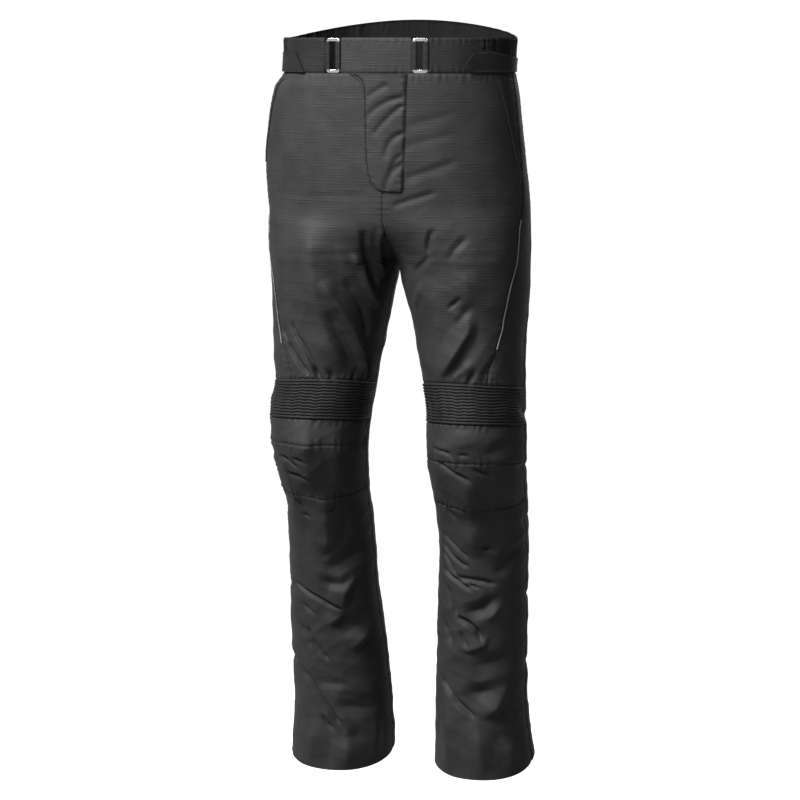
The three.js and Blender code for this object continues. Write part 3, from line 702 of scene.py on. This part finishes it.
def textile(name, dark, light, roughness, rib_pitch, rib_depth, grain, sheen):
    """Woven cloth: mottled colour, a crosswise rib of a set pitch in millimetres, and a grain"""
    material, nodes, links, shader = new_material(name)
    place_at = new_node(nodes, "TexCoord").outputs["Object"]
    mottle = new_node(nodes, "TexNoise", {"Scale": 26, "Detail": 5, "Roughness": 0.62})
    links.new(place_at, mottle.inputs["Vector"])
    colour = two_shades(nodes, (0.34, dark), (0.68, light))
    links.new(mottle.outputs["Fac"], colour.inputs["Fac"])
    links.new(colour.outputs["Color"], shader.inputs["Base Color"])

    rib_scale = 0.314 / (rib_pitch * MM)
    rib_inputs = {"Scale": rib_scale, "Distortion": 0.6, "Detail": 2, "Detail Scale": 3}
    ribs = new_node(nodes, "TexWave", rib_inputs)
    ribs.wave_type = "BANDS"
    ribs.bands_direction = "Z"
    links.new(place_at, ribs.inputs["Vector"])
    stretched = new_node(nodes, "Mapping", {"Scale": (1, 1, 5)})
    links.new(place_at, stretched.inputs["Vector"])
    patches = new_node(nodes, "TexNoise", {"Scale": 30, "Detail": 4})
    links.new(stretched.outputs["Vector"], patches.inputs["Vector"])
    parts = new_node(nodes, "SeparateXYZ")
    links.new(place_at, parts.inputs["Vector"])
    high = new_node(nodes, "MapRange", {"From Min": -0.5, "From Max": -0.3, "To Min": 0.12})
    links.new(parts.outputs["Z"], high.inputs["Value"])
    strength = new_node(nodes, "MapRange", {"From Min": 0.46, "From Max": 0.66})
    links.new(patches.outputs["Fac"], strength.inputs["Value"])
    links.new(high.outputs["Result"], strength.inputs["To Max"])
    ribs_here = new_node(nodes, "Math")
    ribs_here.operation = "MULTIPLY"
    links.new(ribs.outputs["Fac"], ribs_here.inputs[0])
    links.new(strength.outputs["Result"], ribs_here.inputs[1])
    rib_bump = new_node(nodes, "Bump", {"Strength": 0.6, "Distance": rib_depth * MM})
    links.new(ribs_here.outputs["Value"], rib_bump.inputs["Height"])

    weave = new_node(nodes, "TexNoise", {"Scale": grain, "Detail": 3})
    links.new(place_at, weave.inputs["Vector"])
    weave_bump = new_node(nodes, "Bump", {"Strength": 0.5, "Distance": 0.25 * MM})
    links.new(weave.outputs["Fac"], weave_bump.inputs["Height"])
    links.new(rib_bump.outputs["Normal"], weave_bump.inputs["Normal"])
    links.new(weave_bump.outputs["Normal"], shader.inputs["Normal"])

    rough = new_node(nodes, "MapRange", {"To Min": roughness - 0.07, "To Max": roughness + 0.07})
    links.new(mottle.outputs["Fac"], rough.inputs["Value"])
    links.new(rough.outputs["Result"], shader.inputs["Roughness"])
    set_inputs(shader, {"Sheen Weight": sheen, "Sheen Roughness": 0.45})
    set_inputs(shader, {"Sheen Tint": (0.86, 0.88, 0.92, 1), "Specular IOR Level": 0.11})
    return material


cloth = textile("cloth", (0.0088, 0.0088, 0.0092), (0.0125, 0.0125, 0.0131), 0.7, 4, 0.4, 900, 0.006)
stretch = textile("stretch", (0.0048, 0.0048, 0.005), (0.0085, 0.0085, 0.009), 0.7, 1.6, 0.2, 1100, 0.006)
band_cloth = textile("band", (0.0048, 0.0048, 0.005), (0.0072, 0.0072, 0.0075), 0.7, 4, 0.3, 900, 0.006)
elastic = textile("elastic", (0.0018, 0.0018, 0.0019), (0.0036, 0.0036, 0.0038), 0.85, 1.4, 0.25, 900, 0.002)
thread = textile("thread", (0.006, 0.006, 0.0063), (0.012, 0.012, 0.0126), 0.6, 0.8, 0.1, 1500, 0.006)
grey = textile("piping", (0.035, 0.035, 0.037), (0.06, 0.06, 0.063), 0.4, 0.9, 0.1, 1500, 0)


def bright_metal():
    material, nodes, links, shader = new_material("metal")
    place_at = new_node(nodes, "TexCoord").outputs["Object"]
    wear = new_node(nodes, "TexNoise", {"Scale": 260, "Detail": 6})
    links.new(place_at, wear.inputs["Vector"])
    rough = new_node(nodes, "MapRange", {"To Min": 0.16, "To Max": 0.34})
    links.new(wear.outputs["Fac"], rough.inputs["Value"])
    links.new(rough.outputs["Result"], shader.inputs["Roughness"])
    set_inputs(shader, {"Base Color": (0.38, 0.38, 0.385, 1), "Metallic": 1})
    return material


metal = bright_metal()

# Panels
INSERT_AT = 0.8
THIGH_TOP = WAIST_SEAM - SEAM_GAP / 2
# Seams lie closer than in the solids, so that no light shows through them
HALF_GAP = 0.05


def in_radians(side, level, degrees, gap):
    return np.radians(degrees) + gap / np.maximum(half_width(side, level), front(level))


def insert_front(side, level, gap=0):
    return in_radians(side, level, insert_edge(level), gap)


def seam_at(side, level, gap=0):
    return in_radians(side, level, side_seam[side](level), gap)


def stretch_top(u):
    return STRETCH_TOP + 5 * np.sin(math.pi * u)


def ribbed(u, v):
    """Round ribs with tight valleys, lower at both ends of the panel"""
    ends = np.minimum(1, 6 * np.minimum(u, 1 - u))
    wobble = 0.012 * np.sin(31 * u) + 0.01 * np.sin(73 * u + 2)
    wave = np.abs(np.sin(math.pi * RIBS * np.clip(v + wobble * np.sin(math.pi * v), 0, 1))) ** 0.7
    return RIB_HEIGHT * wave * (0.35 + 0.65 * ends)


def make_fronts(side):
    def thigh(u, v):
        level = lerp(THIGH_TOP, stretch_top(u * INSERT_AT) + HALF_GAP, v)
        angle = lerp(-inner_angle(side, level), insert_front(side, level, -HALF_GAP), u)
        return place(side, level, angle)

    def insert(u, v):
        level = lerp(THIGH_TOP, stretch_top(lerp(INSERT_AT, 1, u)) + HALF_GAP, v)
        start = insert_front(side, level, HALF_GAP)
        return place(side, level, lerp(start, seam_at(side, level, -HALF_GAP), u))

    def lower(top, bottom):
        def at(u, v):
            high = stretch_top(u) - HALF_GAP if top is None else top
            level = lerp(high, bottom, v)
            edge = insert_front(side, level)
            inner = lerp(-inner_angle(side, level), edge, u / INSERT_AT)
            outward = lerp(edge, seam_at(side, level, -HALF_GAP), (u - INSERT_AT) / (1 - INSERT_AT))
            return place(side, level, np.where(u < INSERT_AT, inner, outward))

        return at

    def sewn(name, at, columns, rows, **options):
        cloth_piece(f"{name}_{side}", cloth, "cloth", at, columns, rows, **options)

    knee, shin = KNEE_SEAM[side], SHIN_SEAM[side]
    knee_top = lower(STRETCH_BOTTOM - HALF_GAP, knee + HALF_GAP)
    knee_cup = lower(knee - HALF_GAP, shin + HALF_GAP)
    sewn("front", thigh, spread(270, 2.2), spread(438, 2.2), edges=EVERY_EDGE, middle=0)
    sewn("side_insert", insert, spread(80, 2.8), spread(438, 2.8), edges=EVERY_EDGE)
    cloth_piece(
        "knee_stretch_" + side,
        stretch,
        "stretch",
        lower(None, STRETCH_BOTTOM + HALF_GAP),
        np.linspace(0, 1, 90),
        np.linspace(0, 1, RIBS * 10 + 1),
        thickness=1.6,
        relief=ribbed,
        held="stretched",
    )
    sewn("knee_top", knee_top, spread(180, 2), spread(38, 1.6), edges=EVERY_EDGE, pucker=0.9)
    sewn("knee_cup", knee_cup, spread(180, 2), spread(76, 2), edges=EVERY_EDGE, pucker=0.9)
    hem_piece = lower(shin - HALF_GAP, HEM)
    sewn("shin", hem_piece, spread(185, 1.9), spread(400, 1.9), edges=("left", "right", "top"))


def make_back(side):
    def at(u, v):
        level = lerp(THIGH_TOP, HEM, v)
        return place(side, level, lerp(seam_at(side, level, HALF_GAP), inner_angle(side, level), u))

    edges = ("left", "right", "top")
    columns, rows = spread(230, 3.1), spread(1012, 3.4)
    cloth_piece("back_" + side, cloth, "cloth", at, columns, rows, edges=edges, middle=-1)


for side in SIDES:
    make_fronts(side)
    make_back(side)


# Waist
def waist_place(level, turn):
    """Places on the waistband by their turn: 0 in front, 90 at the wearer's left, 180 behind"""
    signed = np.where(turn > 180, turn - 360, turn)
    angle = np.radians(np.abs(signed) - 90)
    level = np.broadcast_to(level, angle.shape)
    points = {side: place(side, level, angle) for side in SIDES}
    right = (signed < 0)[..., None]
    return tuple(np.where(right, points["right"][i], points["left"][i]) for i in range(2))


def waist_top(turn):
    behind = np.maximum(0, np.sin(np.radians(turn - 90)))
    return WAIST_TOP + BACK_RISE * np.where((turn > 90) & (turn < 270), behind**2, 0)


def waist_degrees(turn, length):
    a = waist_place(np.array(0.0), np.array(turn - 0.5))[0]
    b = waist_place(np.array(0.0), np.array(turn + 0.5))[0]
    return length / np.linalg.norm(a - b)


LOOPS = {"right": -25.5, "left": 17.8}
LOOP_HEIGHT = 47
LOOP_WIDTH = 20.4
LOOP_BAR = 4.6
LOOP_THICK = 2
KEEPER_CLEAR = 0.3
KEEPER_WALL = 1.5
KEEPER_GAP = 0.7
LOOP_LEVEL = -1
ELASTIC = {"left": 52, "right": 296}

BAR_OFFSET = (LOOP_WIDTH - LOOP_BAR) / 2
KEEPER_HALF = LOOP_BAR / 2 + KEEPER_CLEAR + KEEPER_WALL


def beside_loop(turn, way):
    return turn + way * waist_degrees(turn, BAR_OFFSET + KEEPER_HALF + KEEPER_GAP)


def band(node, material, slot, start, end, step, **options):
    def at(u, v):
        turn = lerp(start, end, u)
        return waist_place(lerp(waist_top(turn), WAIST_SEAM + HALF_GAP, v), turn)

    length = abs(end - start) / waist_degrees((start + end) / 2, 1)
    cloth_piece(node, material, slot, at, spread(length, step), spread(48, 2), **options)


def gathers(u, v):
    """Uneven upright gathers where the elastic draws the band in"""
    wave = np.abs(np.sin(u * 66 + 1.9 * np.sin(u * 17))) ** 0.5 - 0.6
    return 2.6 * wave * (0.6 + 0.4 * np.sin(u * 41 + 1)) * np.cos(0.5 * math.pi * v) ** 0.5


seam_turn = waist_degrees(90, HALF_GAP)
tab_ends = beside_loop(LOOPS["right"], 1), beside_loop(LOOPS["left"], -1)
right_ends = ELASTIC["right"] - 360 + seam_turn, beside_loop(LOOPS["right"], -1)
left_ends = beside_loop(LOOPS["left"], 1), ELASTIC["left"] - seam_turn
band("waist_tab", cloth, "cloth", *tab_ends, 2, edges=("top", "bottom"))
band("waistband_front_right", band_cloth, "cloth", *right_ends, 2, edges=("top", "bottom", "left"))
band("waistband_front_left", band_cloth, "cloth", *left_ends, 2, edges=("top", "bottom", "right"))
band(
    "waistband_back",
    elastic,
    "waist_elastic",
    ELASTIC["left"] + seam_turn,
    ELASTIC["right"] - seam_turn,
    1.6,
    edges=EVERY_EDGE,
    relief=gathers,
    held="gathered",
)


def loop_axes(turn):
    point, normal = waist_place(np.array(float(LOOP_LEVEL)), np.array(float(turn)))
    out = unit(np.array([normal[0], normal[1], 0]))
    sideways = unit(np.cross([0, 0, 1], out))
    return point - out * CLOTH / 2, sideways, np.array([0, 0, 1.0]), out


def sweep(centres, across_axis, out_axis, section, closed):
    """Rings of a cross-section carried along a path"""
    rings = [
        c + np.outer(section[:, 0], a) + np.outer(section[:, 1], out_axis)
        for c, a in zip(centres, across_axis)
    ]
    count = len(section)
    faces = []
    for i in range(len(rings) if closed else len(rings) - 1):
        here = i * count
        there = ((i + 1) % len(rings)) * count
        for j in range(count):
            k = (j + 1) % count
            faces.append((here + j, here + k, there + k, there + j))
    return np.concatenate(rings), faces


def round_box(width, height, radius, count=5):
    """A rectangle with round corners, anticlockwise"""
    points = []
    for quarter, (sx, sy) in enumerate([(1, 1), (-1, 1), (-1, -1), (1, -1)]):
        for i in range(count):
            turn = math.pi / 2 * (quarter + i / (count - 1))
            x = sx * (width / 2 - radius) + radius * math.cos(turn)
            y = sy * (height / 2 - radius) + radius * math.sin(turn)
            points.append((x, y))
    return np.array(points)


def outward_faces(verts, faces):
    volume = 0
    for face in faces:
        a = verts[face[0]]
        for i in range(1, len(face) - 1):
            volume += float(np.dot(a, np.cross(verts[face[i]], verts[face[i + 1]])))
    return [face[::-1] for face in faces] if volume < 0 else faces


def make_loop(side):
    origin, sideways, up, out = loop_axes(LOOPS[side])
    path = round_box(LOOP_WIDTH - LOOP_BAR, LOOP_HEIGHT - LOOP_BAR, 1.6, 6)
    after = np.roll(path, -1, 0) - np.roll(path, 1, 0)
    sideways_of = unit(np.stack([after[:, 1], -after[:, 0]], 1))
    centres = [origin + sideways * x + up * y for x, y in path]
    across_axis = [sideways * x + up * y for x, y in sideways_of]
    section = round_box(LOOP_BAR, LOOP_THICK, 0.8, 4)
    verts, faces = sweep(centres, across_axis, out, section, True)
    ring = mesh_object("loop_" + side, verts, outward_faces(verts, faces), metal)
    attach(ring, "root")
    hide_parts("waist_loop_" + side)


def make_keeper(side, where, way):
    """Cloth folded round one upright bar, a little fuller in the middle"""
    origin, sideways, up, out = loop_axes(LOOPS[side])
    length = LOOP_HEIGHT - 2 * LOOP_BAR - 2 * KEEPER_CLEAR
    middle = origin + sideways * (way * SIDES[side] * -BAR_OFFSET)
    heights = np.linspace(-length / 2, length / 2, 20)
    skins = []
    for grow in (0, -KEEPER_WALL):
        rings = []
        for h in heights:
            soft = 0.25 * math.sin(h * 0.5 + way) if grow == 0 else 0
            deep = LOOP_THICK + 2 * KEEPER_CLEAR + 2 * KEEPER_WALL + 2 * grow + soft
            ring = round_box(2 * (KEEPER_HALF + grow), deep, 0.44 * deep, 6)
            rings.append(middle + up * h + np.outer(ring[:, 0], sideways) + np.outer(ring[:, 1], out))
        skins.append(np.array(rings))
    tall, wide = skins[0].shape[:2]
    verts = np.concatenate([skin.reshape(-1, 3) for skin in skins])
    inner = tall * wide
    faces = []
    for j in range(wide):
        k = (j + 1) % wide
        for i in range(tall - 1):
            a, b = i * wide, (i + 1) * wide
            faces.append((a + j, a + k, b + k, b + j))
            faces.append((inner + b + j, inner + b + k, inner + a + k, inner + a + j))
        top = (tall - 1) * wide
        faces.append((inner + j, inner + k, k, j))
        faces.append((top + j, top + k, inner + top + k, inner + top + j))
    keeper = mesh_object(f"keeper_{side}_{where}", verts, outward_faces(verts, faces), band_cloth)
    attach(keeper, "root")
    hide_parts(f"loop_keeper_{side}_{where}")


for side in SIDES:
    make_loop(side)
    make_keeper(side, "rear", -1)
    make_keeper(side, "front", 1)

# Trims
RIGHT_TAB = {"top": 3, "bottom": -24, "tipTop": -49.5, "tipBottom": -42.5, "end": -98}
LEFT_TAB = table(
    ["turn", "top", "bottom"],
    [
        [40.5, -12, -18],
        [42, -5, -21.5],
        [45, 2, -23.5],
        [49, 5.5, -24],
        [55, 6, -24],
        [64, 3, -24],
        [76, -1, -24],
        [88, -4, -24],
        [98, -6, -24],
    ],
)


def right_tab(u, v):
    tip = lerp(RIGHT_TAB["tipTop"], RIGHT_TAB["tipBottom"], v)
    level = lerp(RIGHT_TAB["top"], RIGHT_TAB["bottom"], v)
    return waist_place(level, lerp(tip, RIGHT_TAB["end"], u))


def left_tab(u, v):
    turns = [row["turn"] for row in LEFT_TAB]
    turn = lerp(turns[0], turns[-1], u)
    top = np.interp(turn, turns, [row["top"] for row in LEFT_TAB])
    bottom = np.interp(turn, turns, [row["bottom"] for row in LEFT_TAB])
    return waist_place(lerp(top, bottom, v), turn)


def tab_lift(u, v):
    return 1.6 * np.exp(-((u / 0.1) ** 2)) + 0.4 * np.sin(9 * u + 3 * v) * u


for node, at in (("adjuster_tab_right", right_tab), ("adjuster_tab_left", left_tab)):
    cloth_piece(
        node,
        band_cloth,
        "trim_cloth",
        at,
        spread(112, 1.8),
        spread(28, 1.6),
        thickness=TRIM,
        lift=TRIM + SEAM_GAP,
        relief=tab_lift,
        held="folded",
    )

FLY = table(
    ["level", "right", "left"],
    [
        [-25.3, -48, 33],
        [-29, -40, 33],
        [-35, -33, 33],
        [-44, -29.5, 32.5],
        [-60, -28, 32],
        [-80, -28, 31.5],
        [-100, -27.5, 31],
        [-120, -27, 30.5],
        [-140, -26, 29.5],
        [-158, -23.5, 29],
        [-171, -19, 29],
        [-179, -12, 28.5],
        [-184, -2, 28],
    ],
)
# Slanted troughs across the fly, as places from the middle
FLY_FOLDS = table(
    ["x", "level", "toX", "toLevel", "width", "depth", "bow"],
    [
        [-22, -58, 3, -42, 9, 2.2, 1],
        [-22, -84, 26, -57, 9, 2.9, 5],
        [-9, -103, 26, -69, 9, 2.9, 2],
        [5, -134, 27, -106, 10, 3.3, 6],
        [12, -154, 26, -134, 8, 2.2, 2],
        [4, -182, 27, -146, 10, 3.3, 5],
    ],
)


def place_in_front(x, level):
    points = {side: place(side, level, -angle_across(side, level, np.abs(x))) for side in SIDES}
    right = (x < 0)[..., None]
    return tuple(np.where(right, points["right"][i], points["left"][i]) for i in range(2))


def fly_at(u, v):
    levels = [row["level"] for row in FLY]
    level = lerp(levels[0], levels[-1], v)
    lefts = np.interp(-level, [-z for z in levels], [row["left"] for row in FLY])
    rights = np.interp(-level, [-z for z in levels], [row["right"] for row in FLY])
    return lerp(rights, lefts, u), level


def fly_relief(u, v):
    x, level = fly_at(u, v)
    height = np.zeros(x.shape)
    for fold in FLY_FOLDS:
        run = fold["toX"] - fold["x"]
        drop = fold["toLevel"] - fold["level"]
        length = math.hypot(run, drop)
        t = np.clip(((x - fold["x"]) * run + (level - fold["level"]) * drop) / length**2, 0, 1)
        bend = 4 * fold["bow"] * t * (1 - t)
        away_x = x - fold["x"] - run * t + bend * drop / length
        away_y = level - fold["level"] - drop * t - bend * run / length
        near = np.hypot(away_x, away_y) / fold["width"]
        height -= fold["depth"] * np.exp(-((2 * near) ** 2)) * (0.5 + 0.5 * t)
    height = (height + 1.9) * np.minimum(1, 12 * np.minimum(u, 1 - u) + 0.1)
    return height - 2.7 * np.exp(-(((u - 0.07) / 0.025) ** 2))


cloth_piece(
    "fly",
    cloth,
    "cloth",
    lambda u, v: place_in_front(*fly_at(u, v)),
    spread(60, 1.2),
    spread(159, 1.2),
    thickness=TRIM,
    lift=TRIM + SEAM_GAP,
    relief=fly_relief,
    edges=("left", "right", "bottom"),
    pucker=0.3,
)

WELT = {"top": -34, "bottom": -150, "fromAngle": -27, "toAngle": -15, "width": 9}
PIPING = {"top": -225, "bottom": -407, "width": 3}


def make_trims(side):
    def welt(u, v):
        level = lerp(WELT["top"], WELT["bottom"], v)
        angle = lerp(WELT["fromAngle"], WELT["toAngle"], v)
        return place(side, level, in_radians(side, level, angle, (u - 0.5) * WELT["width"]))

    def piping(u, v):
        level = lerp(PIPING["top"], PIPING["bottom"], v)
        return place(side, level, insert_front(side, level, (u - 0.5) * PIPING["width"]))

    def trim(node, material, slot, at, rows, **options):
        cloth_piece(
            f"{node}_{side}",
            material,
            slot,
            at,
            np.linspace(0, 1, 9),
            np.linspace(0, 1, rows),
            thickness=1,
            lift=1 + SEAM_GAP,
            held="folded",
            **options,
        )

    trim("pocket_welt", cloth, "trim_cloth", welt, 60)
    trim("piping", grey, "piping", piping, 70, relief=lambda u, v: -1.1 * (2 * u - 1) ** 2)


for side in SIDES:
    make_trims(side)

# Sewing
STITCH = 3.4
STITCH_GAP = 1
STITCH_THICK = 0.55


def stitch_line(point, normal, height):
    """Short threads end to end along a line on the cloth"""
    walked = along(point[None], 1)[0]
    starts = np.arange(0.5, walked[-1] - STITCH, STITCH + STITCH_GAP)
    verts, faces = [], []
    for start in starts:
        ends = []
        for s in (start, start + STITCH / 2, start + STITCH):
            p = np.array([np.interp(s, walked, point[:, k]) for k in range(3)])
            n = np.array([np.interp(s, walked, normal[:, k]) for k in range(3)])
            ends.append((p, unit(n)))
        way = unit(ends[2][0] - ends[0][0])
        base = len(verts)
        for step, (p, n) in enumerate(ends):
            beside = unit(np.cross(n, way))
            thick = STITCH_THICK * (1 if step == 1 else 0.45)
            for turn in range(4):
                a = math.pi / 2 * turn + math.pi / 4
                rise = height + thick * 0.5 * math.sin(a) + (0.12 if step == 1 else -0.1)
                verts.append(p + n * rise + beside * thick * 0.7 * math.cos(a))
        for ring in (0, 4):
            for j in range(4):
                k = (j + 1) % 4
                faces.append((base + ring + j, base + ring + k, base + ring + 4 + k, base + ring + 4 + j))
        faces.append((base + 3, base + 2, base + 1, base))
        faces.append((base + 8, base + 9, base + 10, base + 11))
    return verts, faces


def sew(name, lines, material=None):
    """All the stitch lines of one colour and place, as one piece"""
    verts, faces = [], []
    for (point, normal), height in lines:
        line_verts, line_faces = stitch_line(point, normal, height)
        faces += [tuple(len(verts) + i for i in face) for face in line_faces]
        verts += line_verts
    piece = mesh_object(name, np.array(verts), faces, material or thread)
    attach(piece, "root")


t_line = np.linspace(0, 1, 160)


def level_line(side, level, start, end):
    levels = np.full(t_line.shape, float(level))
    return place(side, levels, lerp(start(side, levels), end(side, levels), t_line))


def seam_line(side, top, bottom, angle_of):
    levels = lerp(top, bottom, t_line)
    return place(side, levels, angle_of(levels))


def waist_line(level_of, start, end):
    turn = lerp(start, end, np.linspace(0, 1, 260))
    return waist_place(level_of(turn), turn)


def inner_front(side, level):
    return -inner_angle(side, level) + 0.04


def before_seam(side, level):
    return seam_at(side, level, -2)


def after_seam(side, level):
    return seam_at(side, level, 2)


def inner_back(side, level):
    return inner_angle(side, level) - 0.02


def leg_lines(side):
    knee, shin = KNEE_SEAM[side], SHIN_SEAM[side]
    levels = [STRETCH_BOTTOM - 3.2]
    for seam in (knee, shin):
        levels += [seam + STITCH_BESIDE, seam - STITCH_BESIDE]
    levels += [HEM_STITCHES, STRETCH_TOP + 7]
    lines = [level_line(side, level, inner_front, before_seam) for level in levels]
    lines.append(level_line(side, HEM_STITCHES, after_seam, inner_back))
    for gap in (STITCH_BESIDE, 2 * STITCH_BESIDE):
        lines.append(seam_line(side, STITCHES_TOP, HEM, lambda z: seam_at(side, z, gap)))
    lines.append(seam_line(side, STITCHES_TOP, STRETCH_TOP + 5, lambda z: insert_front(side, z, -3.4)))
    lines.append(
        seam_line(side, STITCHES_TOP, SEAT_STITCHES_END, lambda z: angle_across(side, z, STITCH_BESIDE))
    )
    lines.append(seam_line(side, *FLY_STITCHES_BELOW, lambda z: -angle_across(side, z, STITCH_BESIDE)))
    return lines


def band_line(start, end):
    return waist_line(lambda turn: waist_top(turn) - STITCH_BESIDE, start, end)


for side in SIDES:
    sew("stitches_" + side, [(line, 0) for line in leg_lines(side)])

back_ends = ELASTIC["left"], ELASTIC["right"]
waist_lines = [
    (band_line(*tab_ends), 0),
    (band_line(beside_loop(LOOPS["left"], 1), ELASTIC["left"]), 0),
    (band_line(ELASTIC["right"] - 360, beside_loop(LOOPS["right"], -1)), 0),
    (band_line(*back_ends), 0.4),
    (waist_line(lambda turn: turn * 0 + WAIST_SEAM + STITCH_BESIDE, *back_ends), 0.2),
]
sew("stitches_waist", waist_lines)

fly_u = np.full(t_line.shape, 0.06)
fly_lines = [
    (place_in_front(*fly_at(fly_u, lerp(0.04, 0.94, t_line))), TRIM + SEAM_GAP),
    (place_in_front(*fly_at(1 - fly_u * 0.8, lerp(0, 0.97, t_line))), TRIM + SEAM_GAP),
]
sew("stitches_fly", fly_lines)

right_tab_lines = [
    (right_tab(t_line, np.full(t_line.shape, 0.1)), TRIM + SEAM_GAP + 0.3),
    (right_tab(np.full(t_line.shape, 0.03), t_line), TRIM + SEAM_GAP + 0.5),
]
left_tab_lines = [
    (left_tab(lerp(0.04, 1, t_line), np.full(t_line.shape, 0.1)), TRIM + SEAM_GAP + 0.3),
    (left_tab(lerp(0.04, 1, t_line), np.full(t_line.shape, 0.92)), TRIM + SEAM_GAP + 0.3),
]
sew("stitches_tab_right", right_tab_lines)
sew("stitches_tab_left", left_tab_lines, grey)


# Floor, light and world
def studio():
    bpy.ops.mesh.primitive_plane_add(size=900, location=(0, 0, cad_low[2] - FLOOR_DROP * MM))
    floor = bpy.context.object
    floor.name = "floor"
    material, _, _, shader = new_material("floor")
    set_inputs(shader, {"Base Color": (0.28, 0.28, 0.28, 1), "Roughness": 0.9})
    floor.data.materials.append(material)

    world = bpy.data.worlds.new("world")
    bpy.context.scene.world = world
    world.use_nodes = True
    nodes = world.node_tree.nodes
    links = world.node_tree.links
    direction = new_node(nodes, "TexCoord")
    parts = new_node(nodes, "SeparateXYZ")
    glow = two_shades(nodes, (0.03, (0.82, 0.82, 0.82)), (0.14, (0.11, 0.11, 0.11)))
    links.new(direction.outputs["Generated"], parts.inputs["Vector"])
    links.new(parts.outputs["Z"], glow.inputs["Fac"])
    links.new(glow.outputs["Color"], nodes["Background"].inputs["Color"])

    key = bpy.data.lights.new("key", "SUN")
    key.energy = 11.6
    key.angle = math.radians(16)
    lamp = bpy.data.objects.new("key", key)
    lamp.rotation_euler = Vector((0.45, 0.48, -0.74)).to_track_quat("-Z", "Y").to_euler()
    bpy.context.collection.objects.link(lamp)

    aim = Vector((0, 0, -0.12))
    lamps = (
        ("top", (-0.4, -1.4, 0.85), 0.6, 105),
        ("rear", (0.3, 2.6, 1.1), 1.8, 120),
    )
    for name, at, size, power in lamps:
        data = bpy.data.lights.new(name, "AREA")
        data.size = size
        data.energy = power
        lamp = bpy.data.objects.new(name, data)
        lamp.location = at
        lamp.rotation_euler = (aim - Vector(at)).to_track_quat("-Z", "Y").to_euler()
        bpy.context.collection.objects.link(lamp)
    view = bpy.context.scene.view_settings
    view.view_transform = "Standard"
    view.exposure = 0.3
    view.gamma = 0.82


studio()
